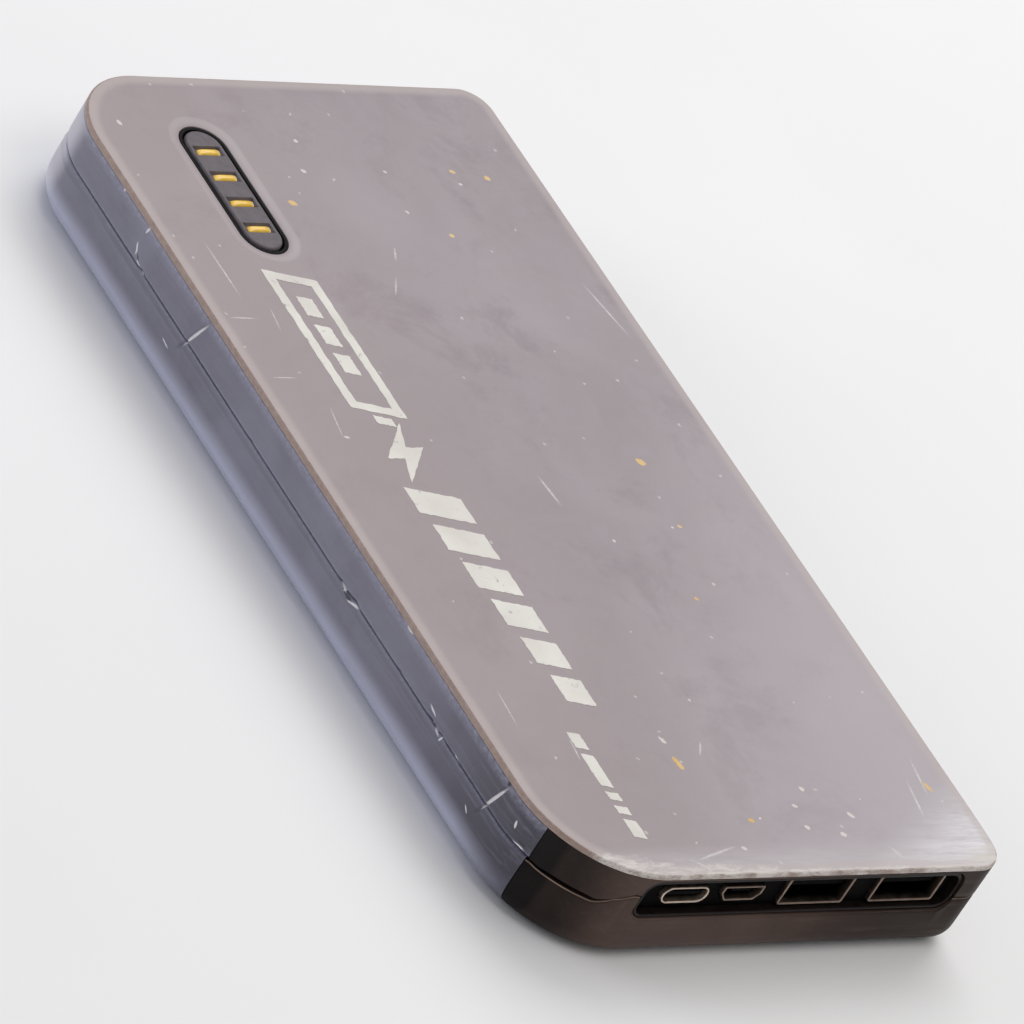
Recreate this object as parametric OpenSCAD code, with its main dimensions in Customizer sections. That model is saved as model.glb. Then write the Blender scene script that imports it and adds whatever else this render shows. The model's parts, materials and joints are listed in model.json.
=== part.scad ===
// Slab power bank: a tub and an upper band joined by a seam, a face plate on top, a two-part end cap
// round a window with four ports, and a pill-shaped push button with four charge lights.
// Origin: centre of the underside. +X to the right, +Y away from the ports, +Z up. Millimetres.

/* [Body] */
// Overall width, from the left side to the right side
body_width = 85; // [83:1:110]
// Overall length, from the port end to the far end
body_length = 170; // [140:1:220]
// Overall height, from the underside to the face plate's top
body_height = 17.8; // [17.6:0.1:26]
// Plan radius of the corner left of the ports
near_left_radius = 18.5; // [12:0.5:22.5]
// Plan radius of the left corner at the far end
far_left_radius = 15; // [8:0.5:20]
// Plan radius of both right-hand corners
right_corner_radius = 5; // [4.5:0.1:9]
// Radius of the rounded lower edge
bottom_edge_radius = 4.2; // [3.4:0.1:4.4]

/* [Walls] */
// Thickness of the side walls
side_wall = 2; // [1.6:0.1:2.4]
// Thickness of the floor
floor_thickness = 1.6; // [1:0.1:2.2]
// Thickness of the face plate
panel_thickness = 1.2; // [1:0.1:1.6]
// Radius of the face plate's upper edge
panel_edge_radius = 0.8; // [0.3:0.1:0.9]
// Height of the long seam above the underside
seam_height = 10.2; // [9:0.1:13]
// Width of the open seam between the outer pieces
seam_gap = 0.3; // [0.1:0.05:0.5]
// Height of the inner lip that closes the seam from behind
lip_height = 1.4; // [0.8:0.1:2]
// Thickness of the wall that stands outside the lip
lip_cover = 1; // [0.7:0.1:1.2]
// Clearance between fixed pieces that are pushed together
fit_gap = 0.1; // [0.05:0.01:0.2]

/* [End cap] */
// Length of the lower end cap along the sides
lower_cap_length = 11.3; // [8:0.5:14]
// Length of the upper end cap along the sides
upper_cap_length = 11; // [6:0.5:14]
// Height of the end cap's seam on its level stretch
end_seam_height = 9.9; // [9:0.1:12]
// Height to which the end cap's seam climbs at the window's left end
end_seam_climb = 3; // [0:0.1:3]
// Width over which the end cap's seam climbs
end_seam_ramp = 5; // [3:0.5:8]
// How much higher the seam runs to the right of the window
end_seam_right_rise = 0.9; // [0:0.1:1.5]
// Length of the tongues that hold the end cap inside the band
tongue_length = 5; // [3:0.5:8]
// Thickness of those tongues
tongue_thickness = 0.9; // [0.6:0.1:1.2]

/* [Port window] */
// Width of the window in the port end
window_width = 63; // [62:0.5:68]
// Height of the window
window_height = 7.8; // [7.4:0.1:9.4]
// Height of the web between the window and the face plate
window_web = 0.3; // [0.2:0.05:0.6]
// Distance that the window runs into the left corner's curve
window_overrun = 3.5; // [0:0.5:4]
// Corner radius of the window
window_corner = 2.6; // [1.5:0.1:3]
// Rim width of the bezel at its sides and bottom
bezel_rim = 0.6; // [0.4:0.1:0.9]
// Height of the bezel's upper ledge
bezel_ledge = 1; // [0.6:0.1:1.4]
// Depth of the bezel's face behind the end face
bezel_recess = 0.4; // [0.2:0.1:0.8]
// Front-to-back depth of the bezel
bezel_depth = 2.2; // [1.8:0.1:3]
// Depth of the black plate's face behind the end face
plate_recess = 1.9; // [1.5:0.1:2.4]
// Thickness of the black plate
plate_thickness = 0.7; // [0.5:0.1:1]

/* [Ports] */
// Depth of the port mouths behind the end face
port_recess = 1.1; // [0.6:0.1:1.4]
// Distance of the USB-C port from the window's left end
usb_c_place = 9.5; // [8:0.1:10]
// Distance of the micro-USB port from the window's left end
micro_usb_place = 20.6; // [19:0.1:22]
// Distance of the first USB-A port from the window's left end
usb_a_first_place = 35.4; // [33:0.1:36]
// Distance of the second USB-A port from the window's left end
usb_a_second_place = 53.5; // [52:0.1:55]
// Clearance of the port shells in the black plate
port_gap = 0.1; // [0.05:0.01:0.2]

/* [Button] */
// Distance of the button's centre from the left side
button_side_offset = 20.4; // [18:0.1:26]
// Distance of the button's centre from the far end
button_end_offset = 25.4; // [24:0.1:40]
// Length of the button cap
button_length = 26.4; // [24:0.1:32]
// Width of the button cap
button_width = 6.8; // [6:0.1:8]
// Running gap round the button cap
button_gap = 0.3; // [0.2:0.05:0.4]
// Width of the black ring round the button
gasket_width = 0.8; // [0.6:0.1:1.2]
// Depth of the black ring's face below the face plate
gasket_recess = 0.3; // [0.1:0.1:0.6]
// Width of the sloping surround that leads down to the ring
dish_width = 2; // [1:0.1:3]
// Depth of the surround at the ring
dish_depth = 0.3; // [0.1:0.05:0.5]
// Depth of the button's face below the face plate
button_recess = 0.1; // [0:0.05:0.3]
// Distance that the button travels when pressed
button_travel = 0.4; // [0.2:0.05:0.5]
// Spacing of the charge lights along the button
light_pitch = 5.7; // [5:0.1:6]
// Length of a charge light across the button
light_length = 4.8; // [3:0.1:5.2]
// Width of a charge light
light_width = 1.6; // [1:0.1:2]

/* [Inside] */
// Length of the board bay behind the port end
bay_length = 34.5; // [34:0.5:45]
// Thickness of one pouch cell
cell_thickness = 4.7; // [3.5:0.1:4.7]
// Gap between the cells and the side walls
cell_side_gap = 3.5; // [3:0.1:6]
// Gap between the cells and the far wall
cell_end_gap = 7; // [6:0.5:12]
// Thickness of the adhesive pads
tape_thickness = 0.2; // [0.1:0.05:0.3]
// Thickness of the main board
board_thickness = 1.2; // [0.8:0.1:1.6]
// Gap between the main board and the walls
board_side_gap = 1.5; // [1:0.1:3]
// Pilot hole radius in the board posts
pilot_radius = 0.85; // [0.7:0.05:1]

/* [Hidden] */
$fn = 96;
over = 1;

left = -body_width / 2;
right = body_width / 2;
near = -body_length / 2;
far = body_length / 2;
panel_base = body_height - panel_thickness;
edge = bottom_edge_radius;

// each corner: centre x, centre y, radius, start angle
CORNERS = [
  [left + near_left_radius, near + near_left_radius, near_left_radius, 180],
  [right - right_corner_radius, near + right_corner_radius, right_corner_radius, 270],
  [right - right_corner_radius, far - right_corner_radius, right_corner_radius, 0],
  [left + far_left_radius, far - far_left_radius, far_left_radius, 90]
];

step_width = 1;
step_height = floor_thickness + 1.8;
lower_cap_y = near + lower_cap_length;
upper_cap_y = near + upper_cap_length;

window_left = left + near_left_radius - window_overrun;
window_right = window_left + window_width;
window_middle = window_left + window_width / 2;
window_top = panel_base - window_web;
window_bottom = window_top - window_height;
window_level = window_bottom + window_height / 2;
bezel_front = near + bezel_recess;
shelf_back = near + side_wall + 1.8;
shelf_overlap = 1.5;
rib_height = 0.7;
plate_front = near + plate_recess;
port_front = near + port_recess;
hole_bottom = window_bottom + bezel_rim;
hole_top = window_top - bezel_ledge;
hole_left = window_left + bezel_rim;
hole_right = window_right - bezel_rim;
hole_corner = window_corner - bezel_rim;
port_height = (hole_bottom + hole_top) / 2;

// standard sizes of the receptacles
sheet = 0.25;
usb_a_width = 13;
usb_a_height = 5.5;
usb_a_depth = 14;
usb_a_base = 4.5;
usb_a_tongue_width = 11.1;
usb_a_tongue_thickness = 1.84;
usb_a_tongue_lift = 1.2;
usb_a_tongue_setback = 1.2;
usb_a_contact_width = 1;
usb_a_contact_places = [-3.5, -1, 1, 3.5];
usb_c_width = 8.94;
usb_c_height = 3.26;
usb_c_depth = 7.4;
usb_c_base = 2.2;
usb_c_tongue_width = 6.7;
usb_c_tongue_thickness = 0.7;
usb_c_tongue_setback = 0.6;
usb_c_contact_pitch = 0.5;
usb_c_contact_width = 0.25;
usb_c_contacts_per_side = 12;
micro_width = 7.9;
micro_height = 2.95;
micro_depth = 5.6;
micro_base = 1.6;
micro_chamfer_width = 1.1;
micro_chamfer_height = 1.4;
micro_tongue_width = 3.7;
micro_tongue_thickness = 0.6;
micro_tongue_lift = 0.35;
micro_tongue_setback = 0.6;
micro_contact_pitch = 0.65;
micro_contact_width = 0.35;
contact_thickness = 0.15;

usb_c_x = window_left + usb_c_place;
micro_x = window_left + micro_usb_place;
usb_a_first_x = window_left + usb_a_first_place;
usb_a_second_x = window_left + usb_a_second_place;

board_top = port_height - usb_a_height / 2;
board_base = board_top - board_thickness;
board_near = near + side_wall + board_side_gap - 0.4;
cells_near = near + bay_length;
board_far = cells_near - 2.5;
board_left = left + side_wall + board_side_gap;
board_right = right - side_wall - board_side_gap;
post_radius = 2.2;
screw_head_radius = 1.9;
screw_head_height = 1.2;
screw_radius = pilot_radius - 0.05;
screw_length = 4.6;
board_hole_radius = screw_radius + 0.35;
post_inset = 4.4;
POSTS = [
  [left + near_left_radius - 3, near + lower_cap_length + 2],
  [board_right - post_inset, port_front + usb_a_depth + 4],
  [board_left + post_inset, board_far - post_inset],
  [board_right - post_inset, board_far - post_inset]
];

cell_left = left + side_wall + cell_side_gap;
cell_width = body_width - 2 * (side_wall + cell_side_gap);
cell_far = far - side_wall - cell_end_gap;
cell_corner = 2;
terrace_length = 2;
terrace_thickness = 0.4;
lower_cell_z = floor_thickness + tape_thickness;
upper_cell_z = lower_cell_z + cell_thickness + tape_thickness;
cells_top = upper_cell_z + cell_thickness;
pad_inset = 8;

button_x = left + button_side_offset;
button_y = far - button_end_offset;
gasket_inner = button_gap;
gasket_outer = button_gap + gasket_width;
gasket_flange = 1.4;
gasket_flange_thickness = 0.4;
cap_top = body_height - button_recess;
flange_growth = 1;
flange_gap = 0.3;
flange_top = panel_base - gasket_flange_thickness - flange_gap;
flange_thickness = 0.7;
flange_base = flange_top - flange_thickness;
boss_radius = 1.3;
boss_length = 0.6;
plunger_top = flange_base - boss_length;
plunger_length = 1;
plunger_radius = 0.8;
switch_clearance = 0.3;
plunger_reach = 0.6;
switch_top = plunger_top - plunger_reach;
dome_thickness = 0.1;
switch_floor = plunger_top - plunger_length - button_travel - switch_clearance - dome_thickness;
switch_sole = 0.2;
mini_board_top = switch_floor - switch_sole;
mini_board_thickness = 0.8;
mini_board_base = mini_board_top - mini_board_thickness;
switch_width = 3.6;
led_height = 0.7;
led_length = 1.6;
led_width = 0.8;
light_fit = 0.05;
light_shoulder = 0.4;
light_base = max(mini_board_top + led_height, switch_top) + button_travel + switch_clearance;
light_recess = 0.05;
LIGHTS = [-1.5, -0.5, 0.5, 1.5];
carrier_wall = 1.2;
carrier_length = 40;
carrier_width = 15.4;
carrier_fit = 0.2;
carrier_post = 3.2;
peg_radius = 0.7;
peg_hole_radius = 0.8;
peg_offset = carrier_length / 2 - carrier_wall - carrier_post / 2 - carrier_fit;
ribbon_width = 5;
ribbon_thickness = 0.12;
ribbon_drop_y = cells_near - 0.9;
ribbon_foot = 3;
guard_board_thickness = 0.8;
guard_board_y = cells_near - 1.7;
guard_board_left = button_x + ribbon_width;
guard_board_width = 40;
guard_board_height = 8;
TABS = [6, 30];
bay_row = near + 23;
chip_size = 6;
chip_height = 0.9;
transistor_size = [5, 6, 1];
inductor_size = 8;
inductor_height = 4;
capacitor_radius = 3.1;
capacitor_height = 5.6;
small_size = [1.6, 0.8, 0.6];
tab_width = 5;
tab_thickness = 0.15;
lead_radius = 0.65;
lead_length = 4;
LEADS = [3, 6];

score_depth = 0.25;
score_width = 0.5;
score_lean = 20;
score_base = 8.4;
far_score_offset = 52.5;
near_score_offset = 21;
SCORES = [far - far_score_offset, near + near_score_offset];

mark_thickness = 0.05;
mark_slant = 2.4;
mark_side_offset = 15;
mark_left = left + mark_side_offset;
mark_width = 9.6;
mark_line = 1.7;
mark_gap = 1.6;
mark_start = button_y - button_length / 2 - gasket_outer - dish_width - mark_gap;
case_length = 30;
LEVELS = [5, 11.2, 17.4];
level_length = 4.2;
bolt_room = 17;
bolt_middle = mark_start - case_length - bolt_room / 2 - mark_slant / 2;
stripe_start = mark_start - case_length - bolt_room;
stripe_pitch = 7.6;
stripe_length = 5.4;
stripe_taper = 0.9;
foot_marks_offset = 29;
foot_marks_start = near + foot_marks_offset;
stripe_count = floor((stripe_start - foot_marks_start - mark_slant - mark_gap) / stripe_pitch);
FOOT_MARKS = [[0, 3.2], [4.4, 6.4], [12, 1.6], [14.8, 1.6], [17.6, 3.6]];
foot_mark_inset = 0.4;
foot_mark_width = 2.6;

// ---- shared shapes ----

// quarter disc in the first quadrant, turned by an angle
module quarter_disc(radius, turn) {
  intersection() {
    circle(r = radius);
    rotate(turn) square(radius);
  }
}

// the body's plan outline, moved inwards by a distance
module outline(inset) {
  points = [
    for (c = CORNERS)
      for (p = [
        [c[0] + (c[2] - inset) * cos(c[3]), c[1] + (c[2] - inset) * sin(c[3])],
        [c[0], c[1]],
        [c[0] + (c[2] - inset) * cos(c[3] + 90), c[1] + (c[2] - inset) * sin(c[3] + 90)]
      ]) p
  ];
  polygon(points);
  for (c = CORNERS)
    translate([c[0], c[1]]) quarter_disc(c[2] - inset, c[3]);
}

// carries a profile round the plan outline: profile x runs inwards from the outer face, y is height
module round_the_body() {
  for (c = CORNERS)
    translate([c[0], c[1], 0]) rotate(c[3]) rotate_extrude(angle = 90)
      translate([c[2], 0]) mirror([1, 0]) children();
  for (i = [0:3]) {
    a = CORNERS[i];
    b = CORNERS[(i + 1) % 4];
    normal = a[3] + 90;
    start = [a[0] + a[2] * cos(normal), a[1] + a[2] * sin(normal)];
    end = [b[0] + b[2] * cos(normal), b[1] + b[2] * sin(normal)];
    translate([start[0], start[1], 0]) rotate([90, 0, normal + 180])
      linear_extrude(norm(end - start)) children();
  }
}

// rectangle about the origin with round corners
module soft_rectangle(width, height, radius) {
  w = width / 2;
  h = height / 2;
  r = radius;
  polygon([
    [w, -h + r], [w, h - r], [w - r, h - r], [w - r, h], [-w + r, h], [-w + r, h - r],
    [-w, h - r], [-w, -h + r], [-w + r, -h + r], [-w + r, -h], [w - r, -h], [w - r, -h + r]
  ]);
  for (s = [[1, 1, 0], [-1, 1, 90], [-1, -1, 180], [1, -1, 270]])
    translate([s[0] * (w - r), s[1] * (h - r)]) quarter_disc(r, s[2]);
}

// pill shape about the origin, long along Y
module pill(length, width) {
  soft_rectangle(width, length, width / 2);
}

// prism of a front view: profile x is X, profile y is Z, running from one Y to another
module front_prism(y_from, y_to) {
  translate([0, y_to, 0]) rotate([90, 0, 0]) linear_extrude(y_to - y_from) children();
}

module at_button(z) {
  translate([button_x, button_y, z]) children();
}

module block(low, high) {
  translate(low) cube(high - low);
}

// ---- walls ----

// section of the wall with the rounded lower edge, the inner step and the edge of the floor
module wall_section(top) {
  difference() {
    union() {
      translate([edge, edge]) quarter_disc(edge, 180);
      translate([0, edge]) square([edge, top - edge]);
    }
    polygon([
      [side_wall, top + over], [side_wall, step_height], [side_wall + step_width, step_height],
      [side_wall + step_width, floor_thickness], [edge + over, floor_thickness],
      [edge + over, top + over]
    ]);
  }
}

module band_section(u_from, u_to, z_from, z_to) {
  translate([u_from, z_from]) square([u_to - u_from, z_to - z_from]);
}

module side_of_cap(y_cap) {
  block([left - over, y_cap, -over], [right + over, far + over, body_height + over]);
}

module cap_side(y_cap) {
  block([left - over, near - over, -over], [right + over, y_cap, body_height + over]);
}

// the two shallow cross scores on the left side
module side_scores() {
  for (y = SCORES)
    translate([left - over, y, (score_base + panel_base) / 2])
      rotate([score_lean, 0, 0])
        translate([0, -score_width / 2, (score_base - panel_base) / 2])
          cube([over + score_depth, score_width, body_height]);
}

// region below the end cap's seam, raised by a lift
module below_end_seam(lift) {
  low = end_seam_height + lift;
  high = low + end_seam_climb;
  front_prism(near - over, lower_cap_y + tongue_length + over)
    polygon([
      [left - over, -over], [right + over, -over], [right + over, low + end_seam_right_rise],
      [window_right - over, low + end_seam_right_rise], [window_right - over, high],
      [window_left - over, high], [window_left - over - end_seam_ramp, low], [left - over, low]
    ]);
}

module window_prism() {
  front_prism(near - over, near + side_wall + over / 2)
    translate([window_middle, window_level])
      soft_rectangle(window_width, window_height, window_corner);
}

module tongues(z_from, z_to, y_cap) {
  intersection() {
    round_the_body()
      band_section(side_wall + fit_gap, side_wall + fit_gap + tongue_thickness, z_from, z_to);
    block([left - over, y_cap, -over], [right + over, y_cap + tongue_length, body_height]);
  }
  intersection() {
    round_the_body()
      band_section(side_wall - lip_cover / 2, side_wall + fit_gap + tongue_thickness, z_from, z_to);
    block([left - over, y_cap - tongue_length / 2, -over], [right + over, y_cap, body_height]);
  }
}

module lower_shell() {
  color("#66657A")
  difference() {
    union() {
      intersection() {
        round_the_body() wall_section(seam_height);
        side_of_cap(lower_cap_y + fit_gap);
      }
      intersection() {
        round_the_body()
          band_section(lip_cover + fit_gap, side_wall, seam_height - over, seam_height + lip_height);
        side_of_cap(lower_cap_y + fit_gap);
      }
      linear_extrude(floor_thickness) outline(edge);
      for (p = POSTS)
        translate([p[0], p[1], floor_thickness / 2])
          cylinder(r = post_radius, h = board_base - floor_thickness / 2);
    }
    side_scores();
    for (p = POSTS)
      translate([p[0], p[1], board_top - screw_length - fit_gap])
        cylinder(r = pilot_radius, h = screw_length);
  }
}

module upper_frame() {
  color("#6B6978")
  difference() {
    intersection() {
      union() {
        round_the_body() band_section(0, lip_cover, seam_height + seam_gap, panel_base);
        round_the_body()
          band_section(lip_cover, side_wall, seam_height + lip_height + seam_gap, panel_base);
      }
      side_of_cap(upper_cap_y + fit_gap);
    }
    side_scores();
  }
}

module lower_end_cap() {
  color("#3D3331")
  difference() {
    union() {
      intersection() {
        round_the_body()
          union() {
            wall_section(edge + over);
            band_section(0, lip_cover, edge + over, panel_base);
          }
        cap_side(lower_cap_y);
        below_end_seam(0);
      }
      intersection() {
        round_the_body() band_section(lip_cover, side_wall, edge + over, panel_base);
        cap_side(lower_cap_y);
        below_end_seam(lip_height);
      }
      tongues(step_height + fit_gap, seam_height - 2 * over, lower_cap_y);
    }
    window_prism();
    difference() {
      cap_side(lower_cap_y + over);
      block([left - over, near - over, -over], [right + over, upper_cap_y, body_height + over]);
      block([left - over, near - over, -over], [right + over, far, seam_height]);
    }
    linear_extrude(floor_thickness + fit_gap)
      intersection() {
        outline(edge - fit_gap);
        translate([left, near]) square([body_width, bay_length]);
      }
  }
}

module upper_end_cap() {
  color("#473B38")
  difference() {
    union() {
      difference() {
        intersection() {
          round_the_body() band_section(0, lip_cover, seam_height - 2 * over, panel_base);
          cap_side(upper_cap_y);
        }
        below_end_seam(seam_gap);
      }
      difference() {
        intersection() {
          round_the_body() band_section(lip_cover, side_wall, seam_height - 2 * over, panel_base);
          cap_side(upper_cap_y);
        }
        below_end_seam(lip_height + seam_gap);
      }
      tongues(seam_height + lip_height + over, panel_base - 2 * fit_gap, upper_cap_y);
      // shelf and rib that carry the cap across the window
      block(
        [window_left - shelf_overlap, near + side_wall - lip_cover, window_top],
        [window_right + shelf_overlap, shelf_back, panel_base]
      );
      block(
        [window_left - shelf_overlap, bezel_front + bezel_depth + fit_gap, window_top - rib_height],
        [window_right + shelf_overlap, shelf_back, panel_base]
      );
    }
    window_prism();
  }
}

// ---- face plate ----

module panel_section() {
  r = panel_edge_radius;
  translate([0, panel_base]) square([edge, panel_thickness - r]);
  translate([r, body_height - r]) quarter_disc(r, 90);
  translate([r, body_height - r]) square([edge - r, r]);
}

// sloping surround of the button opening: half cones at the ends and a trough between them
module button_dish() {
  inner = button_width / 2 + gasket_outer;
  outer = inner + dish_width;
  run = button_length - button_width;
  at_button(body_height - dish_depth)
    for (s = [[1, 0], [-1, 180]])
      translate([0, s[0] * run / 2, 0]) rotate(s[1])
        rotate_extrude(angle = 180)
          polygon([[0, 0], [inner, 0], [outer, dish_depth], [outer, over], [0, over]]);
  at_button(body_height - dish_depth)
    translate([0, run / 2, 0]) rotate([90, 0, 0]) linear_extrude(run)
      polygon([
        [-outer, over], [-outer, dish_depth], [-inner, 0], [inner, 0], [outer, dish_depth], [outer, over]
      ]);
}

module top_panel() {
  color("#A0959A")
  difference() {
    union() {
      translate([0, 0, panel_base]) linear_extrude(panel_thickness) outline(edge);
      round_the_body() panel_section();
    }
    button_dish();
    at_button(panel_base - over)
      linear_extrude(panel_thickness + 2 * over)
        pill(button_length + 2 * gasket_outer, button_width + 2 * gasket_outer);
  }
}

// a bar whose ends lean along the body
module leaning_bar(y_start, length, x_from, x_to) {
  lean = mark_slant / mark_width;
  polygon([
    [mark_left + x_from, y_start - lean * x_from],
    [mark_left + x_to, y_start - lean * x_to],
    [mark_left + x_to, y_start - lean * x_to - length],
    [mark_left + x_from, y_start - lean * x_from - length]
  ]);
}

module face_marks() {
  color("#F0EEE6")
  translate([0, 0, body_height]) linear_extrude(mark_thickness) {
    // battery outline with a terminal, and three level blocks in it
    difference() {
      leaning_bar(mark_start, case_length, 0, mark_width);
      leaning_bar(mark_start - mark_line, case_length - 2 * mark_line, mark_line, mark_width - mark_line);
    }
    leaning_bar(mark_start - case_length - mark_line / 2, mark_line, mark_width / 3, mark_width * 2 / 3);
    for (d = LEVELS)
      leaning_bar(mark_start - d, level_length, 2 * mark_line, mark_width - 2 * mark_line);
    // lightning bolt
    translate([mark_left + mark_width / 2, bolt_middle])
      polygon([[2.6, 6.4], [-4.2, -1.2], [-0.4, -1.2], [-2.6, -6.4], [4.2, 1.2], [0.4, 1.2]]);
    // row of leaning stripes
    for (i = [0:stripe_count - 1])
      leaning_bar(stripe_start - i * stripe_pitch, stripe_length, i * stripe_taper, mark_width);
    // small dashes
    for (m = FOOT_MARKS)
      leaning_bar(foot_marks_start - m[0], m[1], foot_mark_inset, foot_mark_width);
  }
}

// ---- port window ----

module port_bezel() {
  color("#55473F")
  difference() {
    front_prism(bezel_front, bezel_front + bezel_depth)
      translate([window_middle, window_level])
        soft_rectangle(window_width - 2 * fit_gap, window_height - 2 * fit_gap, window_corner - fit_gap);
    front_prism(bezel_front - over, bezel_front + bezel_depth + over)
      translate([(hole_left + hole_right) / 2, (hole_bottom + hole_top) / 2])
        soft_rectangle(hole_right - hole_left, hole_top - hole_bottom, hole_corner);
  }
}

module port_plate() {
  color("#161413")
  difference() {
    front_prism(plate_front, plate_front + plate_thickness)
      translate([(hole_left + hole_right) / 2, (hole_bottom + hole_top) / 2])
        soft_rectangle(
          hole_right - hole_left - 2 * light_fit, hole_top - hole_bottom - 2 * light_fit, hole_corner
        );
    front_prism(plate_front - over, plate_front + plate_thickness + over)
      union() {
        for (x = [usb_a_first_x, usb_a_second_x])
          translate([x, port_height])
            square([usb_a_width + 2 * port_gap, usb_a_height + 2 * port_gap], center = true);
        translate([usb_c_x, port_height])
          soft_rectangle(
            usb_c_width + 2 * port_gap, usb_c_height + 2 * port_gap, usb_c_height / 2 + port_gap
          );
        translate([micro_x, port_height]) micro_profile(port_gap);
      }
  }
}

module micro_profile(growth) {
  w = micro_width / 2 + growth;
  h = micro_height / 2 + growth;
  polygon([
    [-w, h], [w, h], [w, -h + micro_chamfer_height], [w - micro_chamfer_width, -h],
    [-w + micro_chamfer_width, -h], [-w, -h + micro_chamfer_height]
  ]);
}

module usb_a_shell(x) {
  color("#8E8A88")
  difference() {
    front_prism(port_front, port_front + usb_a_depth)
      translate([x, port_height]) square([usb_a_width, usb_a_height], center = true);
    front_prism(port_front - over, port_front + usb_a_depth - sheet)
      translate([x, port_height])
        square([usb_a_width - 2 * sheet, usb_a_height - 2 * sheet], center = true);
  }
}

module usb_a_tongue(x) {
  back = port_front + usb_a_depth - sheet;
  base_front = port_front + usb_a_depth - usb_a_base;
  color("#1C1C1E") {
    front_prism(base_front, back)
      translate([x, port_height])
        square([usb_a_width - 2 * sheet, usb_a_height - 2 * sheet], center = true);
    front_prism(port_front + usb_a_tongue_setback, base_front)
      translate([x, port_height + usb_a_tongue_lift])
        square([usb_a_tongue_width, usb_a_tongue_thickness], center = true);
  }
}

module usb_a_contacts(x) {
  z = port_height + usb_a_tongue_lift - usb_a_tongue_thickness / 2;
  color("#C9A24A")
  for (p = usb_a_contact_places)
    block(
      [x + p - usb_a_contact_width / 2, port_front + 2 * usb_a_tongue_setback, z - contact_thickness],
      [x + p + usb_a_contact_width / 2, port_front + usb_a_depth - usb_a_base, z]
    );
}

module usb_a_first_shell() {
  usb_a_shell(usb_a_first_x);
}

module usb_a_first_tongue() {
  usb_a_tongue(usb_a_first_x);
}

module usb_a_first_contacts() {
  usb_a_contacts(usb_a_first_x);
}

module usb_a_second_shell() {
  usb_a_shell(usb_a_second_x);
}

module usb_a_second_tongue() {
  usb_a_tongue(usb_a_second_x);
}

module usb_a_second_contacts() {
  usb_a_contacts(usb_a_second_x);
}

module usb_c_shell() {
  color("#C8C4C0")
  difference() {
    front_prism(port_front, port_front + usb_c_depth)
      translate([usb_c_x, port_height]) soft_rectangle(usb_c_width, usb_c_height, usb_c_height / 2);
    front_prism(port_front - over, port_front + usb_c_depth - sheet)
      translate([usb_c_x, port_height])
        soft_rectangle(
          usb_c_width - 2 * sheet, usb_c_height - 2 * sheet, usb_c_height / 2 - sheet
        );
  }
}

module usb_c_tongue() {
  base_front = port_front + usb_c_depth - usb_c_base;
  color("#1C1C1E") {
    front_prism(base_front, port_front + usb_c_depth - sheet)
      translate([usb_c_x, port_height])
        soft_rectangle(
          usb_c_width - 2 * sheet, usb_c_height - 2 * sheet, usb_c_height / 2 - sheet
        );
    front_prism(port_front + usb_c_tongue_setback, base_front)
      translate([usb_c_x, port_height])
        square([usb_c_tongue_width, usb_c_tongue_thickness], center = true);
  }
}

module usb_c_contacts() {
  first = -(usb_c_contacts_per_side - 1) / 2;
  color("#C9A24A")
  for (s = [1, -1])
    for (i = [0:usb_c_contacts_per_side - 1]) {
      x = usb_c_x + (first + i) * usb_c_contact_pitch;
      z = port_height + s * usb_c_tongue_thickness / 2;
      block(
        [x - usb_c_contact_width / 2, port_front + 2 * usb_c_tongue_setback, min(z, z + s * contact_thickness)],
        [
          x + usb_c_contact_width / 2,
          port_front + usb_c_depth - usb_c_base,
          max(z, z + s * contact_thickness)
        ]
      );
    }
}

module micro_usb_shell() {
  color("#8E8A88")
  difference() {
    front_prism(port_front, port_front + micro_depth)
      translate([micro_x, port_height]) micro_profile(0);
    front_prism(port_front - over, port_front + micro_depth - sheet)
      translate([micro_x, port_height]) micro_profile(-sheet);
  }
}

module micro_usb_tongue() {
  base_front = port_front + micro_depth - micro_base;
  color("#1C1C1E") {
    front_prism(base_front, port_front + micro_depth - sheet)
      translate([micro_x, port_height]) micro_profile(-sheet);
    front_prism(port_front + micro_tongue_setback, base_front)
      translate([micro_x, port_height + micro_tongue_lift])
        square([micro_tongue_width, micro_tongue_thickness], center = true);
  }
}

module micro_usb_contacts() {
  z = port_height + micro_tongue_lift - micro_tongue_thickness / 2;
  color("#C9A24A")
  for (i = [-2:2])
    block(
      [
        micro_x + i * micro_contact_pitch - micro_contact_width / 2,
        port_front + 2 * micro_tongue_setback,
        z - contact_thickness
      ],
      [
        micro_x + i * micro_contact_pitch + micro_contact_width / 2,
        port_front + micro_depth - micro_base,
        z
      ]
    );
}

// ---- push button ----

module button_gasket() {
  color("#121112")
  difference() {
    union() {
      at_button(panel_base)
        linear_extrude(panel_thickness - gasket_recess)
          pill(
            button_length + 2 * (gasket_outer - light_fit), button_width + 2 * (gasket_outer - light_fit)
          );
      at_button(panel_base - gasket_flange_thickness)
        linear_extrude(gasket_flange_thickness)
          pill(
            button_length + 2 * (gasket_outer + gasket_flange),
            button_width + 2 * (gasket_outer + gasket_flange)
          );
    }
    at_button(panel_base - over)
      linear_extrude(panel_thickness + over)
        pill(button_length + 2 * gasket_inner, button_width + 2 * gasket_inner);
  }
}

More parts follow.
